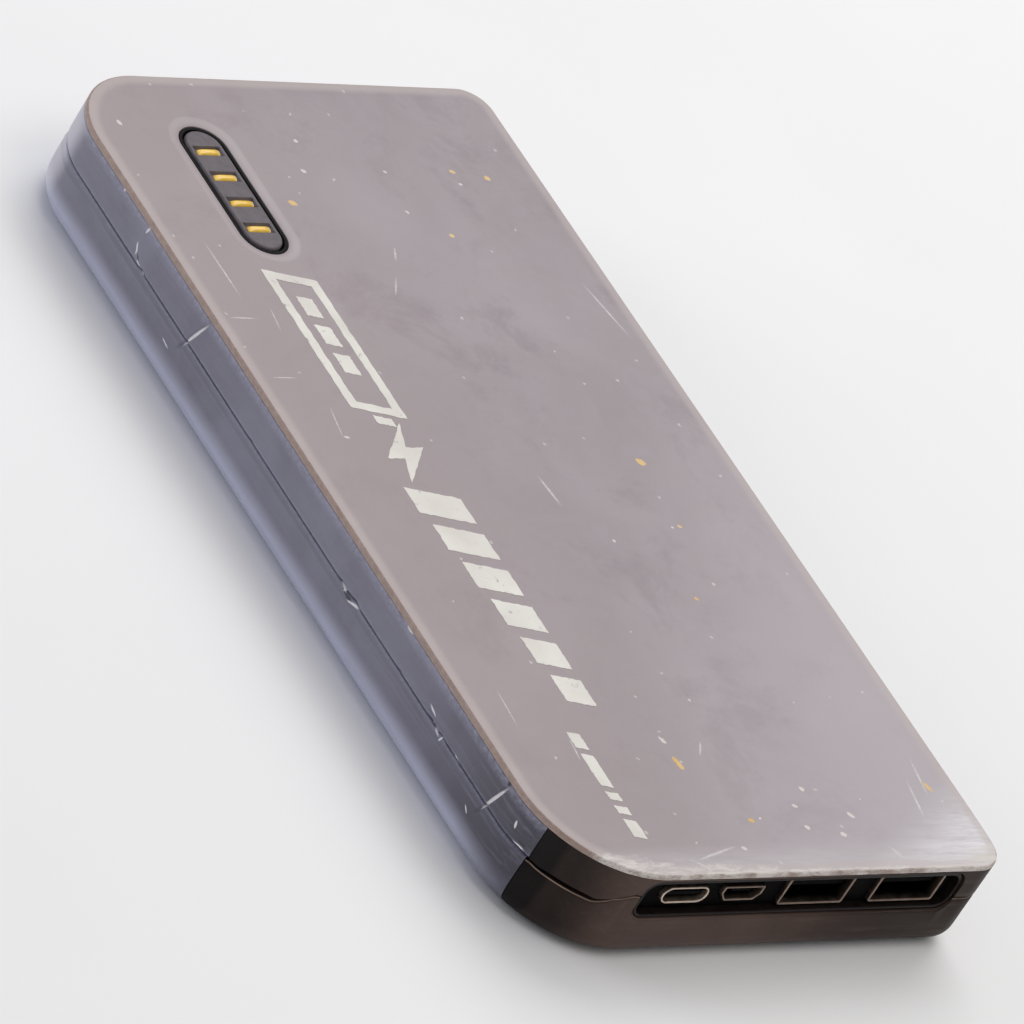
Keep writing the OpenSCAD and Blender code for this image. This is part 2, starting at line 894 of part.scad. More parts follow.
module button_cap() {
  color("#5D5C68")
  difference() {
    union() {
      at_button(flange_base) linear_extrude(cap_top - flange_base) pill(button_length, button_width);
      at_button(flange_base)
        linear_extrude(flange_thickness)
          pill(button_length + 2 * flange_growth, button_width + 2 * flange_growth);
      at_button(plunger_top) cylinder(r = boss_radius, h = boss_length + flange_thickness);
    }
    for (k = LIGHTS)
      at_button(flange_base - over)
        translate([0, k * light_pitch, 0]) linear_extrude(cap_top - flange_base + 2 * over)
          soft_rectangle(
            light_length + 2 * light_fit, light_width + 2 * light_fit, light_width / 2 - light_fit
          );
  }
}

module light_bars() {
  color("#E8B92E")
  for (k = LIGHTS)
    at_button(light_base) translate([0, k * light_pitch, 0]) {
      linear_extrude(cap_top - light_recess - light_base)
        soft_rectangle(light_length, light_width, light_width / 2 - 2 * light_fit);
      linear_extrude(flange_base - light_base - light_fit)
        soft_rectangle(
          light_length + 2 * light_shoulder, light_width + 2 * light_shoulder, light_width / 2
        );
    }
}

module switch_plunger() {
  color("#2B2B2E")
  at_button(plunger_top - plunger_length) cylinder(r = plunger_radius, h = plunger_length);
}

module switch_body() {
  color("#B8B6B2")
  at_button(mini_board_top)
    difference() {
      linear_extrude(switch_top - mini_board_top) soft_rectangle(switch_width, switch_width, 0.4);
      translate([0, 0, switch_sole])
        cylinder(r = plunger_radius + switch_clearance, h = switch_top - mini_board_top);
    }
}

module switch_dome() {
  color("#D2CFC8")
  at_button(switch_floor)
    cylinder(r = plunger_radius, h = dome_thickness);
}

module indicator_carrier() {
  color("#1E1D20")
  difference() {
    union() {
      at_button(mini_board_base)
        difference() {
          linear_extrude(panel_base - mini_board_base)
            soft_rectangle(carrier_width, carrier_length, 2 * carrier_wall);
          translate([0, 0, -over])
            linear_extrude(panel_base)
              soft_rectangle(
                carrier_width - 2 * carrier_wall, carrier_length - 2 * carrier_wall, carrier_wall
              );
        }
      for (s = [1, -1])
        at_button(mini_board_top)
          translate([0, s * peg_offset, 0]) {
            linear_extrude(panel_base - mini_board_top)
              square(
                [carrier_width - 2 * carrier_wall + over, carrier_post],
                center = true
              );
            translate([0, 0, -mini_board_thickness])
              cylinder(r = peg_radius, h = mini_board_thickness + over);
          }
    }
    // rebate for the ring's flange
    at_button(panel_base - gasket_flange_thickness - fit_gap)
      linear_extrude(panel_thickness)
        pill(
          button_length + 2 * (gasket_outer + gasket_flange + fit_gap),
          button_width + 2 * (gasket_outer + gasket_flange + fit_gap)
        );
    // room for the cap's flange over its whole travel
    at_button(flange_base - button_travel - switch_clearance)
      linear_extrude(panel_thickness + flange_thickness + button_travel)
        pill(
          button_length + 2 * (flange_growth + switch_clearance),
          button_width + 2 * (flange_growth + switch_clearance)
        );
  }
}

module indicator_board() {
  color("#1E5A3A")
  at_button(mini_board_base)
    difference() {
      linear_extrude(mini_board_thickness)
        soft_rectangle(
          carrier_width - 2 * (carrier_wall + carrier_fit),
          carrier_length - 2 * (carrier_wall + carrier_fit),
          carrier_wall - carrier_fit
        );
      for (s = [1, -1])
        translate([0, s * peg_offset, -over])
          cylinder(r = peg_hole_radius, h = mini_board_thickness + 2 * over);
    }
}

module indicator_leds() {
  color("#EFE7C8")
  for (k = LIGHTS)
    at_button(mini_board_top)
      translate([-led_length / 2, k * light_pitch - led_width / 2, 0])
        cube([led_length, led_width, led_height]);
}

module indicator_ribbon() {
  x_from = button_x - ribbon_width / 2;
  x_to = button_x + ribbon_width / 2;
  color("#C98A3A") {
    block(
      [x_from, ribbon_drop_y, mini_board_base - ribbon_thickness],
      [x_to, button_y - carrier_length / 2 + 3 * carrier_wall, mini_board_base]
    );
    block(
      [x_from, ribbon_drop_y, board_top],
      [x_to, ribbon_drop_y + ribbon_thickness, mini_board_base]
    );
    block(
      [x_from, board_far - ribbon_foot, board_top],
      [x_to, ribbon_drop_y + ribbon_thickness, board_top + ribbon_thickness]
    );
  }
}

// ---- main board ----

module main_board() {
  color("#1E5A3A")
  difference() {
    translate([0, 0, board_base]) linear_extrude(board_thickness)
      polygon([
        [board_left, board_far], [board_left, near + near_left_radius],
        [left + near_left_radius, board_near], [board_right - board_side_gap, board_near],
        [board_right, board_near + board_side_gap], [board_right, board_far]
      ]);
    for (p = POSTS)
      translate([p[0], p[1], board_base - over])
        cylinder(r = board_hole_radius, h = board_thickness + 2 * over);
  }
}

module board_screws() {
  color("#9A9894")
  for (p = POSTS)
    translate([p[0], p[1], board_top]) {
      difference() {
        cylinder(r = screw_head_radius, h = screw_head_height);
        translate([0, 0, screw_head_height / 2])
          cylinder(r = screw_head_radius / 2, h = screw_head_height, $fn = 6);
      }
      translate([0, 0, -screw_length]) cylinder(r = screw_radius, h = screw_length + screw_head_height / 4);
    }
}

module port_risers() {
  color("#222124") {
    block(
      [usb_c_x - usb_c_width / 3, port_front + plate_thickness + 2 * over, board_top],
      [usb_c_x + usb_c_width / 3, port_front + usb_c_depth, port_height - usb_c_height / 2]
    );
    block(
      [micro_x - micro_width / 3, port_front + plate_thickness + 2 * over, board_top],
      [micro_x + micro_width / 3, port_front + micro_depth, port_height - micro_height / 2]
    );
  }
}

module controller_chip() {
  color("#202124")
  translate([1, bay_row, board_top]) linear_extrude(chip_height) square(chip_size, center = true);
}

module power_transistors() {
  color("#26272A")
  for (x = [8, 15])
    translate([x, bay_row, board_top])
      linear_extrude(transistor_size[2]) square([transistor_size[0], transistor_size[1]], center = true);
}

module power_inductor() {
  color("#4A4A4E")
  translate([-11, bay_row, board_top])
    linear_extrude(inductor_height) soft_rectangle(inductor_size, inductor_size, 1.2);
}

module bulk_capacitors() {
  color("#B9BCC2")
  for (x = [-20.5, 23])
    translate([x, bay_row, board_top]) cylinder(r = capacitor_radius, h = capacitor_height);
}

module small_parts() {
  color("#8B7A5C")
  for (i = [0:11])
    translate([i * 2.6 - 6, board_far - 4 * small_size[1], board_top]) cube(small_size);
}

// ---- cells ----

module pouch_cell(z) {
  width = cell_width;
  length = cell_far - cells_near - terrace_length;
  color("#B9BEC6") {
    translate([cell_left + width / 2, cells_near + terrace_length + length / 2, z])
      linear_extrude(cell_thickness) soft_rectangle(width, length, cell_corner);
    translate([
      cell_left + cell_corner, cells_near, z + (cell_thickness - terrace_thickness) / 2
    ])
      cube([width - 2 * cell_corner, terrace_length, terrace_thickness]);
  }
}

module cell_lower() {
  pouch_cell(lower_cell_z);
}

module cell_upper() {
  pouch_cell(upper_cell_z);
}

module cell_tabs() {
  color("#C9C7C0")
  for (z = [lower_cell_z, upper_cell_z])
    for (x = TABS)
      translate([guard_board_left + x, guard_board_y + guard_board_thickness, z + cell_thickness / 2])
        cube([tab_width, cells_near - guard_board_y - guard_board_thickness, tab_thickness]);
}

module guard_board() {
  color("#1E5A3A")
  translate([guard_board_left, guard_board_y, lower_cell_z + 1.2])
    cube([guard_board_width, guard_board_thickness, guard_board_height]);
}

module power_leads() {
  color("#B23A32")
  for (x = LEADS)
    translate([guard_board_left + x, guard_board_y, board_top + lead_radius])
      rotate([90, 0, 0]) cylinder(r = lead_radius, h = lead_length);
}

module cell_tape() {
  color("#D9D6CC")
  for (z = [floor_thickness, lower_cell_z + cell_thickness])
    block(
      [cell_left + pad_inset, cells_near + pad_inset, z],
      [cell_left + cell_width - pad_inset, cell_far - pad_inset, z + tape_thickness]
    );
}

module top_foam() {
  color("#3B3A3D")
  block(
    [button_x + carrier_width / 2 + pad_inset, cells_near + pad_inset, cells_top],
    [cell_left + cell_width - pad_inset, cell_far - pad_inset, panel_base]
  );
}

top_panel();
face_marks();
upper_frame();
lower_shell();
upper_end_cap();
lower_end_cap();
port_bezel();
port_plate();
button_gasket();
button_cap();
light_bars();
usb_c_shell();
usb_c_tongue();
usb_c_contacts();
micro_usb_shell();
micro_usb_tongue();
micro_usb_contacts();
usb_a_first_shell();
usb_a_first_tongue();
usb_a_first_contacts();
usb_a_second_shell();
usb_a_second_tongue();
usb_a_second_contacts();
main_board();
board_screws();
port_risers();
controller_chip();
power_transistors();
power_inductor();
bulk_capacitors();
small_parts();
cell_lower();
cell_upper();
cell_tabs();
guard_board();
power_leads();
cell_tape();
top_foam();
indicator_carrier();
indicator_board();
indicator_leds();
switch_body();
switch_dome();
switch_plunger();
indicator_ribbon();
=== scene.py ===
"""Slab power bank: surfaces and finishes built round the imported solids, all in metres in the same frame.

Lengths in the functions are in millimetres until a surface is put into a mesh.
"""

import json
from functools import partial

import bmesh
import bpy
import numpy as np
from bpy.props import FloatProperty, FloatVectorProperty, PointerProperty
from mathutils import Matrix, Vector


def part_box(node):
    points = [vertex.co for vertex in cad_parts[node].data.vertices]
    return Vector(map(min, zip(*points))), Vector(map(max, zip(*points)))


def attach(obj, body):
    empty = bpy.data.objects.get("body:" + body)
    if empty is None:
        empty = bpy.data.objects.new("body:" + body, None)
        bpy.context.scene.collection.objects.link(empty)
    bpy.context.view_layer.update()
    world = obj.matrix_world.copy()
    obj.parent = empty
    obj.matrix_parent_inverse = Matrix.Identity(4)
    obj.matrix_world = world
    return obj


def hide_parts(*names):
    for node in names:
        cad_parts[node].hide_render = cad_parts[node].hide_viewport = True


bl_info = {
    "name": "Slab power bank",
    "version": (1, 0, 0),
    "blender": (4, 5, 0),
    "location": "3D View > Sidebar > Power bank",
    "description": "Builds the shells, button, sockets and finishes of a slab power bank",
    "category": "Add Mesh",
}

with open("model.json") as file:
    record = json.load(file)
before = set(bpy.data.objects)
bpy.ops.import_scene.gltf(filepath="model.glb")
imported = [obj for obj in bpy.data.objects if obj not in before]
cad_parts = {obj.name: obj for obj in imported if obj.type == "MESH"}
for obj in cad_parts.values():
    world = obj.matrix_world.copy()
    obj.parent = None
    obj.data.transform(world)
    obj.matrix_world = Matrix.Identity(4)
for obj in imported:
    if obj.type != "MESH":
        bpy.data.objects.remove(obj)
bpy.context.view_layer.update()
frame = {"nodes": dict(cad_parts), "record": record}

MM = 1000.0  # millimetres in a metre
RNG_SEED = 7  # start of every random draw


def span(node):
    """Lowest and highest corner of a solid, in millimetres."""
    return np.array(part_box(node), float) * MM


# heights and places that come from the solids
PLATE = span("top_panel")
TUB = span("lower_shell")
BEZEL = span("port_bezel")
CAP = span("button_cap")
RING = span("button_gasket")
MOUTH = span("usb_c_shell")[0][1]
MARKS = span("face_marks")

LEFT, NEAR, PLATE_LOW = PLATE[0]
RIGHT, FAR, TOP = PLATE[1]
WALL = 2.0  # wall of the bands
LIP = 1.4  # lip behind the seam
COVER = 1.0  # wall outside the lip
SEAM_GAP = 0.3
SEAM_ROUND = 0.42  # round of the tub's outer edge at the seam
JUMP = 1e-4  # distance along the outline between the two sides of a sudden change
STEP = 0.16  # how far the tub steps in just under the seam
FIT = 0.1  # play between pieces that are pushed together
SEAM = TUB[1][2] - LIP
EDGE = 4.2  # radius of the lower edge
FLOOR = 1.6
LOWER_CUT = NEAR + 11.3  # where the tub ends and the lower end cap starts
UPPER_CUT = NEAR + 11.0  # where the upper band ends and the upper end cap starts
END_SEAM = 9.9  # height of the end cap's seam at the left side
SEAM_CLIMB = 3.0  # how far the seam climbs to the window, over the ramp's length
SEAM_RAMP = 5.0
RIGHT_RISE = 0.9  # how much higher the seam runs right of the window
GAPE = 0.45
WINDOW_LOW = BEZEL[0] - FIT
WINDOW_HIGH = BEZEL[1] + FIT
WINDOW_CORNER = 2.6
SHOULDER = 4.8  # width over which the face plate rolls off
END_ROLL_START, END_ROLL_FULL = 12, 2  # where the greater drop of the port end starts and is full
RIM_WOBBLE, RIM_GRAIN = 0.035, 6.0  # height and length of the waves that wear leaves along the rim
HOLE_ROUND = 0.06  # how far the wall of the button's opening stands in from its edge
CAP_GROWTH = 1.0  # flange beyond the cap's outline
BUTTON = (CAP[0] + CAP[1])[:2] / 2
CAP_HALF = (CAP[1] - CAP[0])[:2] / 2 - CAP_GROWTH
BUTTON_GAP = 0.3
RING_WIDTH = 0.8
DISH_WIDTH = 2.0  # sunk surround of the button
DISH_DEPTH = 0.3
LIGHT_ROWS = (-1.5, -0.5, 0.5, 1.5)  # places of the four lights, in pitches from the middle
LIGHT_PITCH = 5.7
LIGHT_HALF = (2.25, 0.70)
POCKET_HALF = (2.55, 0.95)
POCKET_DEPTH = 0.55


def linear(colour):
    """Colour in linear light with full alpha, from an sRGB hex value or from a linear colour property."""
    if not isinstance(colour, str):
        return (*colour, 1.0)
    value = np.array([int(colour[i:i + 2], 16) for i in (1, 3, 5)]) / 255
    value = np.where(value <= 0.04045, value / 12.92, ((value + 0.055) / 1.055) ** 2.4)
    return (*value.tolist(), 1.0)


class BankSizes(bpy.types.PropertyGroup):
    """Sizes that a user may change."""

    near_left_radius: FloatProperty(
        name="Near left radius", description="Plan radius of the corner left of the sockets",
        default=0.0185, unit="LENGTH",
    )
    far_left_radius: FloatProperty(
        name="Far left radius", description="Plan radius of the left corner at the far end",
        default=0.015, unit="LENGTH",
    )
    right_radius: FloatProperty(
        name="Right radius", description="Plan radius of both right-hand corners",
        default=0.005, unit="LENGTH",
    )
    roll_off: FloatProperty(
        name="Roll-off", description="Drop of the face plate at its port end",
        default=0.00030, unit="LENGTH",
    )
    side_roll_off: FloatProperty(
        name="Side roll-off", description="Drop of the face plate along its other sides",
        default=0.00012, unit="LENGTH",
    )
    plate_edge: FloatProperty(
        name="Plate edge", description="Radius of the face plate's upper edge",
        default=0.00032, unit="LENGTH",
    )
    spacing: FloatProperty(
        name="Spacing", description="Distance between stations along the outline",
        default=0.0006, unit="LENGTH",
    )
    camera_distance: FloatProperty(
        name="Camera distance", description="Distance from the camera to the body",
        default=1.4588, unit="LENGTH",
    )


class BankColours(bpy.types.PropertyGroup):
    """Main colours that a user may change: each finish drifts between a dark and a light tone."""

    plate_dark: FloatVectorProperty(
        name="Dark plate", description="Darker tone of the paint of the face plate",
        default=linear("#958A8E")[:3], subtype="COLOR",
    )
    plate_light: FloatVectorProperty(
        name="Light plate", description="Lighter tone of the paint of the face plate",
        default=linear("#A69BA0")[:3], subtype="COLOR",
    )
    slate_dark: FloatVectorProperty(
        name="Dark slate", description="Darker tone of the plastic of the side bands",
        default=linear("#6E6B79")[:3], subtype="COLOR",
    )
    slate_light: FloatVectorProperty(
        name="Light slate", description="Lighter tone of the plastic of the side bands",
        default=linear("#838190")[:3], subtype="COLOR",
    )
    brown_dark: FloatVectorProperty(
        name="Dark brown", description="Darker tone of the plastic of the end cap",
        default=linear("#4D3D37")[:3], subtype="COLOR",
    )
    brown_light: FloatVectorProperty(
        name="Light brown", description="Lighter tone of the plastic of the end cap",
        default=linear("#604D45")[:3], subtype="COLOR",
    )
    amber_dark: FloatVectorProperty(
        name="Dark amber", description="Darker tone of the plastic of the charge lights",
        default=linear("#F0BC2E")[:3], subtype="COLOR",
    )
    amber_light: FloatVectorProperty(
        name="Light amber", description="Lighter tone of the plastic of the charge lights",
        default=linear("#FDD65A")[:3], subtype="COLOR",
    )


# ---- surfaces ----


def walk_outline():
    """Walks the body's plan outline anticlockwise from the near left corner.

    Each corner is an arc about its own centre, from its start angle through a quarter turn, and a straight
    run joins it to the next. Returns arc length, points and inward normals, 0.05 mm apart.
    """
    sizes = bpy.context.scene.bank_sizes
    near_left, far_left, right = (
        np.array([sizes.near_left_radius, sizes.far_left_radius, sizes.right_radius]) * MM
    )
    corners = np.array([
        [LEFT + near_left, NEAR + near_left, near_left, np.pi],
        [RIGHT - right, NEAR + right, right, 1.5 * np.pi],
        [RIGHT - right, FAR - right, right, 0.0],
        [LEFT + far_left, FAR - far_left, far_left, 0.5 * np.pi],
    ])
    step = 0.05
    points, normals = [], []
    for i, (x, y, radius, start) in enumerate(corners):
        turn = start + np.linspace(0, np.pi / 2, int(radius * np.pi / 2 / step) + 2)
        out = np.stack([np.cos(turn), np.sin(turn)], 1)
        points.append(np.array([x, y]) + radius * out)
        normals.append(-out)
        nx, ny, nr, _ = corners[(i + 1) % 4]
        here, there = points[-1][-1], np.array([nx, ny]) + nr * out[-1]
        along = np.linspace(0, 1, int(np.linalg.norm(there - here) / step) + 2)[1:-1, None]
        points.append(here + (there - here) * along)
        normals.append(np.repeat(-out[-1:], len(along), 0))
    points, normals = np.concatenate(points), np.concatenate(normals)
    gaps = np.linalg.norm(np.diff(points, axis=0, append=points[:1]), axis=1)
    length = np.concatenate([[0], np.cumsum(gaps)])
    points = np.concatenate([points, points[:1]])
    normals = np.concatenate([normals, normals[:1]])
    return length, points, normals


def stations(outline, marks):
    """Points and inward normals at given arc lengths, by straight-line reading of the walked outline."""
    length, points, normals = outline
    marks = np.mod(marks, length[-1] + 1e-9)
    where = np.stack([np.interp(marks, length, points[:, k]) for k in (0, 1)], 1)
    inward = np.stack([np.interp(marks, length, normals[:, k]) for k in (0, 1)], 1)
    return where, inward / np.linalg.norm(inward, axis=1, keepdims=True)


def fillet(corners, steps=4, ease=0.08):
    """Rounds a closed profile.

    corners holds rows of (u, z, radius, share). Each corner becomes the arc tangent to both its sides, read
    at equal turns, with one more point just outside each end so that the flats stay flat. The share is
    carried to every point of its corner.
    """
    corners = np.array(corners, float)
    at, radius = corners[:, :2], corners[:, 2:3]
    back = np.roll(at, 1, 0) - at
    ahead = np.roll(at, -1, 0) - at
    back /= np.linalg.norm(back, axis=1, keepdims=True)
    ahead /= np.linalg.norm(ahead, axis=1, keepdims=True)
    half = np.arccos(np.clip((back * ahead).sum(1), -1, 1))[:, None] / 2
    reach = radius / np.tan(half)
    middle = back + ahead
    middle /= np.linalg.norm(middle, axis=1, keepdims=True)
    centre = at + middle * radius / np.sin(half)
    first, last = at + back * reach - centre, at + ahead * reach - centre
    sweep = np.pi - 2 * half
    k = np.linspace(0, 1, steps + 1)
    arc = centre[:, None] + (
        first[:, None] * np.sin((1 - k) * sweep)[..., None] + last[:, None] * np.sin(k * sweep)[..., None]
    ) / np.sin(sweep)[..., None]
    before = at + back * (reach + ease)
    after = at + ahead * (reach + ease)
    rounded = np.concatenate([before[:, None], arc, after[:, None]], 1)
    share = np.repeat(corners[:, 3], steps + 3)
    return rounded.reshape(-1, 2), share


def ease_step(low, high, x):
    """Smooth step from 0 at low to 1 at high."""
    t = np.clip((x - low) / (high - low), 0, 1)
    return t * t * (3 - 2 * t)


def carry(where, inward, u, z):
    """Carries a profile along stations: a point is the station moved inwards by u, at height z."""
    u, z = np.broadcast_arrays(u, z)
    flat = where[:, None, :] + inward[:, None, :] * u[..., None]
    return np.concatenate([flat, np.broadcast_to(z, flat.shape[:2])[..., None]], 2)


def dent(grid, inward, places):
    """Presses nicks into a surface: each moves nearby points inwards by a bell-shaped depth."""
    for x, y, z, radius, depth in places:
        near_by = np.linalg.norm(grid - np.array([x, y, z]), axis=2)
        push = depth * np.exp(-((near_by / radius) ** 2))
        grid[..., :2] += inward[:, None, :] * push[..., None]
    return grid


def wobble(length, grain, seed):
    """Periodic roughness along a closed run: a sum of sine waves with seeded phases, about 1 high."""
    rng = np.random.default_rng(seed)
    total = length[-1]
    waves = np.arange(1, 40)
    count = np.maximum(1, np.round(total / grain * waves / 8))
    phase = rng.uniform(0, 2 * np.pi, len(waves))
    weight = 1 / np.sqrt(waves)
    signal = (weight[:, None] * np.sin(2 * np.pi * count[:, None] * length / total + phase[:, None])).sum(0)
    return signal / np.abs(signal).max()


def pill_reach(turn, radius, half_run):
    """Distance from a pill's centre to its outline at an angle, for a pill long along Y.

    It meets the straight side where the side's height is within the half run, and otherwise the end circle.
    """
    side = radius / np.maximum(np.abs(np.cos(turn)), 1e-9)
    on_side = side * np.abs(np.sin(turn)) <= half_run
    end = half_run * np.abs(np.sin(turn)) + np.sqrt(
        np.maximum(radius**2 - (half_run * np.cos(turn)) ** 2, 0)
    )
    return np.where(on_side, side, end)


def loop_rectangle(width, height, radius, count):
    """Rectangle with round corners about the origin, read at equal steps of its own length."""
    w, h = width / 2 - radius, height / 2 - radius
    turn = np.linspace(0, np.pi / 2, 12)
    pieces = [
        np.stack([sx * w + radius * np.cos(turn + start), sy * h + radius * np.sin(turn + start)], 1)
        for sx, sy, start in ((1, 1, 0), (-1, 1, np.pi / 2), (-1, -1, np.pi), (1, -1, 1.5 * np.pi))
    ]
    return even_loop(np.concatenate(pieces), count)


def even_loop(points, count):
    """Reads a closed polyline at equal steps of its length."""
    closed = np.concatenate([points, points[:1]])
    length = np.concatenate([[0], np.cumsum(np.linalg.norm(np.diff(closed, axis=0), axis=1))])
    marks = np.linspace(0, length[-1], count, endpoint=False)
    return np.stack([np.interp(marks, length, closed[:, k]) for k in (0, 1)], 1)


def front_tube(outer, inner, profile, middle):
    """Ring seen from the front, between an outer and an inner loop of X and Z.

    profile rows are (share, depth): a point lies that share of the way from the outer loop to the inner one,
    at that Y. The ring closes on itself both ways.
    """
    share, depth = np.array(profile, float).T
    flat = outer[:, None] * (1 - share)[None, :, None] + inner[:, None] * share[None, :, None]
    y = np.broadcast_to(depth, flat.shape[:2])
    return np.stack([flat[..., 0] + middle[0], y, flat[..., 1] + middle[1]], 2)


class Piece:
    """Gathers grids of points into one closed mesh object that rides on a body."""

    def __init__(self, name):
        self.name = name
        self.points, self.faces, self.values, self.count = [], [], {}, 0

    def grid(self, points, wrap_rows=False, wrap_columns=True, ends=False, **values):
        """Adds a grid of points as four-sided faces, closed across its rows or columns, with flat ends."""
        rows, columns = points.shape[:2]
        index = np.arange(rows * columns).reshape(rows, columns) + self.count
        r = np.arange(rows if wrap_rows else rows - 1)
        c = np.arange(columns if wrap_columns else columns - 1)
        r, c = np.meshgrid(r, c, indexing="ij")
        r2, c2 = (r + 1) % rows, (c + 1) % columns
        quads = np.stack([index[r, c], index[r2, c], index[r2, c2], index[r, c2]], -1).reshape(-1, 4)
        self.faces.extend(quads.tolist())
        if ends:
            self.faces.append(index[0].tolist())
            self.faces.append(index[-1][::-1].tolist())
        self.points.append(points.reshape(-1, 3))
        for key, value in values.items():
            self.values.setdefault(key, []).append(np.broadcast_to(value, (rows, columns)).ravel())
        self.count += rows * columns

    def build(self, body, slot, *nodes, sharp=38):
        """Makes the mesh, merges its poles, turns its faces outwards, and gives it its finish and body."""
        mesh = bpy.data.meshes.new(self.name)
        mesh.from_pydata((np.concatenate(self.points) / MM).tolist(), [], self.faces)
        for key, value in self.values.items():
            layer = mesh.attributes.new(key, "FLOAT", "POINT")
            layer.data.foreach_set("value", np.concatenate(value).astype(np.float32))
        piece = bpy.data.objects.new(self.name, mesh)
        bpy.context.scene.collection.objects.link(piece)
        work = bmesh.new()
        work.from_mesh(mesh)
        bmesh.ops.remove_doubles(work, verts=work.verts, dist=2e-7)
        bmesh.ops.recalc_face_normals(work, faces=work.faces)
        work.to_mesh(mesh)
        work.free()
        mesh.polygons.foreach_set("use_smooth", [True] * len(mesh.polygons))
        mesh.set_sharp_from_angle(angle=np.radians(sharp))
        mesh.materials.append(finishes()[slot])
        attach(piece, body)
        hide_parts(*nodes)


# ---- finishes ----

SOFT = {"interpolation_type": "SMOOTHSTEP"}
DULL = {"Specular IOR Level": 0.2}  # dust in the mould grain takes the gloss off
MARK_DEPTH = 6.0  # reach of a mark into the surface that it lies on
FINISHES = {}


def add_node(tree, kind, inputs=(), stops=(), out=0, **settings):
    """Adds a node with its settings, colour stops and inputs. Gives back one output, or the node for None.

    Inputs are a list in socket order or a dictionary. A socket is linked, a hex colour is set in linear
    light, and any other value is set as it is.
    """
    made = tree.nodes.new("ShaderNode" + kind)
    for key, value in settings.items():
        setattr(made, key, value)
    if stops:
        ramp = made.color_ramp.elements
        for i, (place, colour) in enumerate(stops):
            stop = ramp[i] if i < 2 else ramp.new(place)
            stop.position, stop.color = place, linear(colour)
    for key, value in inputs.items() if isinstance(inputs, dict) else enumerate(inputs):
        if isinstance(value, bpy.types.NodeSocket):
            tree.links.new(value, made.inputs[key])
        else:
            made.inputs[key].default_value = linear(value) if isinstance(value, str) else value
    return made if out is None else made.outputs[out]


def new_finish(name, **shader_values):
    """Empty material with its shader: gives back the material, its node adder, the shader and the place.

    The place is object coordinates in millimetres.
    """
    material = bpy.data.materials.new(name)
    material.use_nodes = True
    material.node_tree.nodes.clear()
    add = partial(add_node, material.node_tree)
    shader = add("BsdfPrincipled", shader_values, out=None)
    add("OutputMaterial", [shader.outputs[0]], out=None)
    place = add("VectorMath", {0: add("TexCoord", out="Object"), 3: MM}, operation="SCALE")
    return material, add, shader, place


def close_finish(material, shader, colour, lift=None, gloss=None):
    """Links the base colour, and the bump and roughness where they vary, to the shader."""
    for name, socket in (("Base Color", colour), ("Normal", lift), ("Roughness", gloss)):
        if socket is not None:
            material.node_tree.links.new(socket, shader.inputs[name])
    return material


def scatter_marks(add, place, rows):
    """Long thin or round marks: each is a soft ellipse of given centre, half sizes and turn about one axis.

    The coordinates are moved, turned and scaled so that the ellipse is the unit ball, whose inside reads
    one minus the distance from its centre. The marks are combined by their highest value.
    """
    total = None
    for row in rows:
        unit = add("Mapping", [place, *row], vector_type="TEXTURE")
        ball = add("TexGradient", [unit], out=1, gradient_type="SPHERICAL")
        total = ball if total is None else add("Math", [total, ball], operation="MAXIMUM")
    return total


def face_marks(*rows):
    """Straight marks on the face plate: rows of two points (x, y) and a half width become ellipses."""
    return [
        (((x0 + x1) / 2, (y0 + y1) / 2, TOP), (0.0, 0.0, float(np.arctan2(y1 - y0, x1 - x0))),
         (np.hypot(x1 - x0, y1 - y0) / 2, width, MARK_DEPTH))
        for x0, y0, x1, y1, width in rows
    ]


def side_marks(*rows):
    """Straight marks on the left side: rows of two points (y, z) and a half width become ellipses."""
    return [
        ((LEFT, (y0 + y1) / 2, (z0 + z1) / 2), (float(np.arctan2(z1 - z0, y1 - y0)), 0.0, 0.0),
         (MARK_DEPTH, np.hypot(y1 - y0, z1 - z0) / 2, width))
        for y0, z0, y1, z1, width in rows
    ]


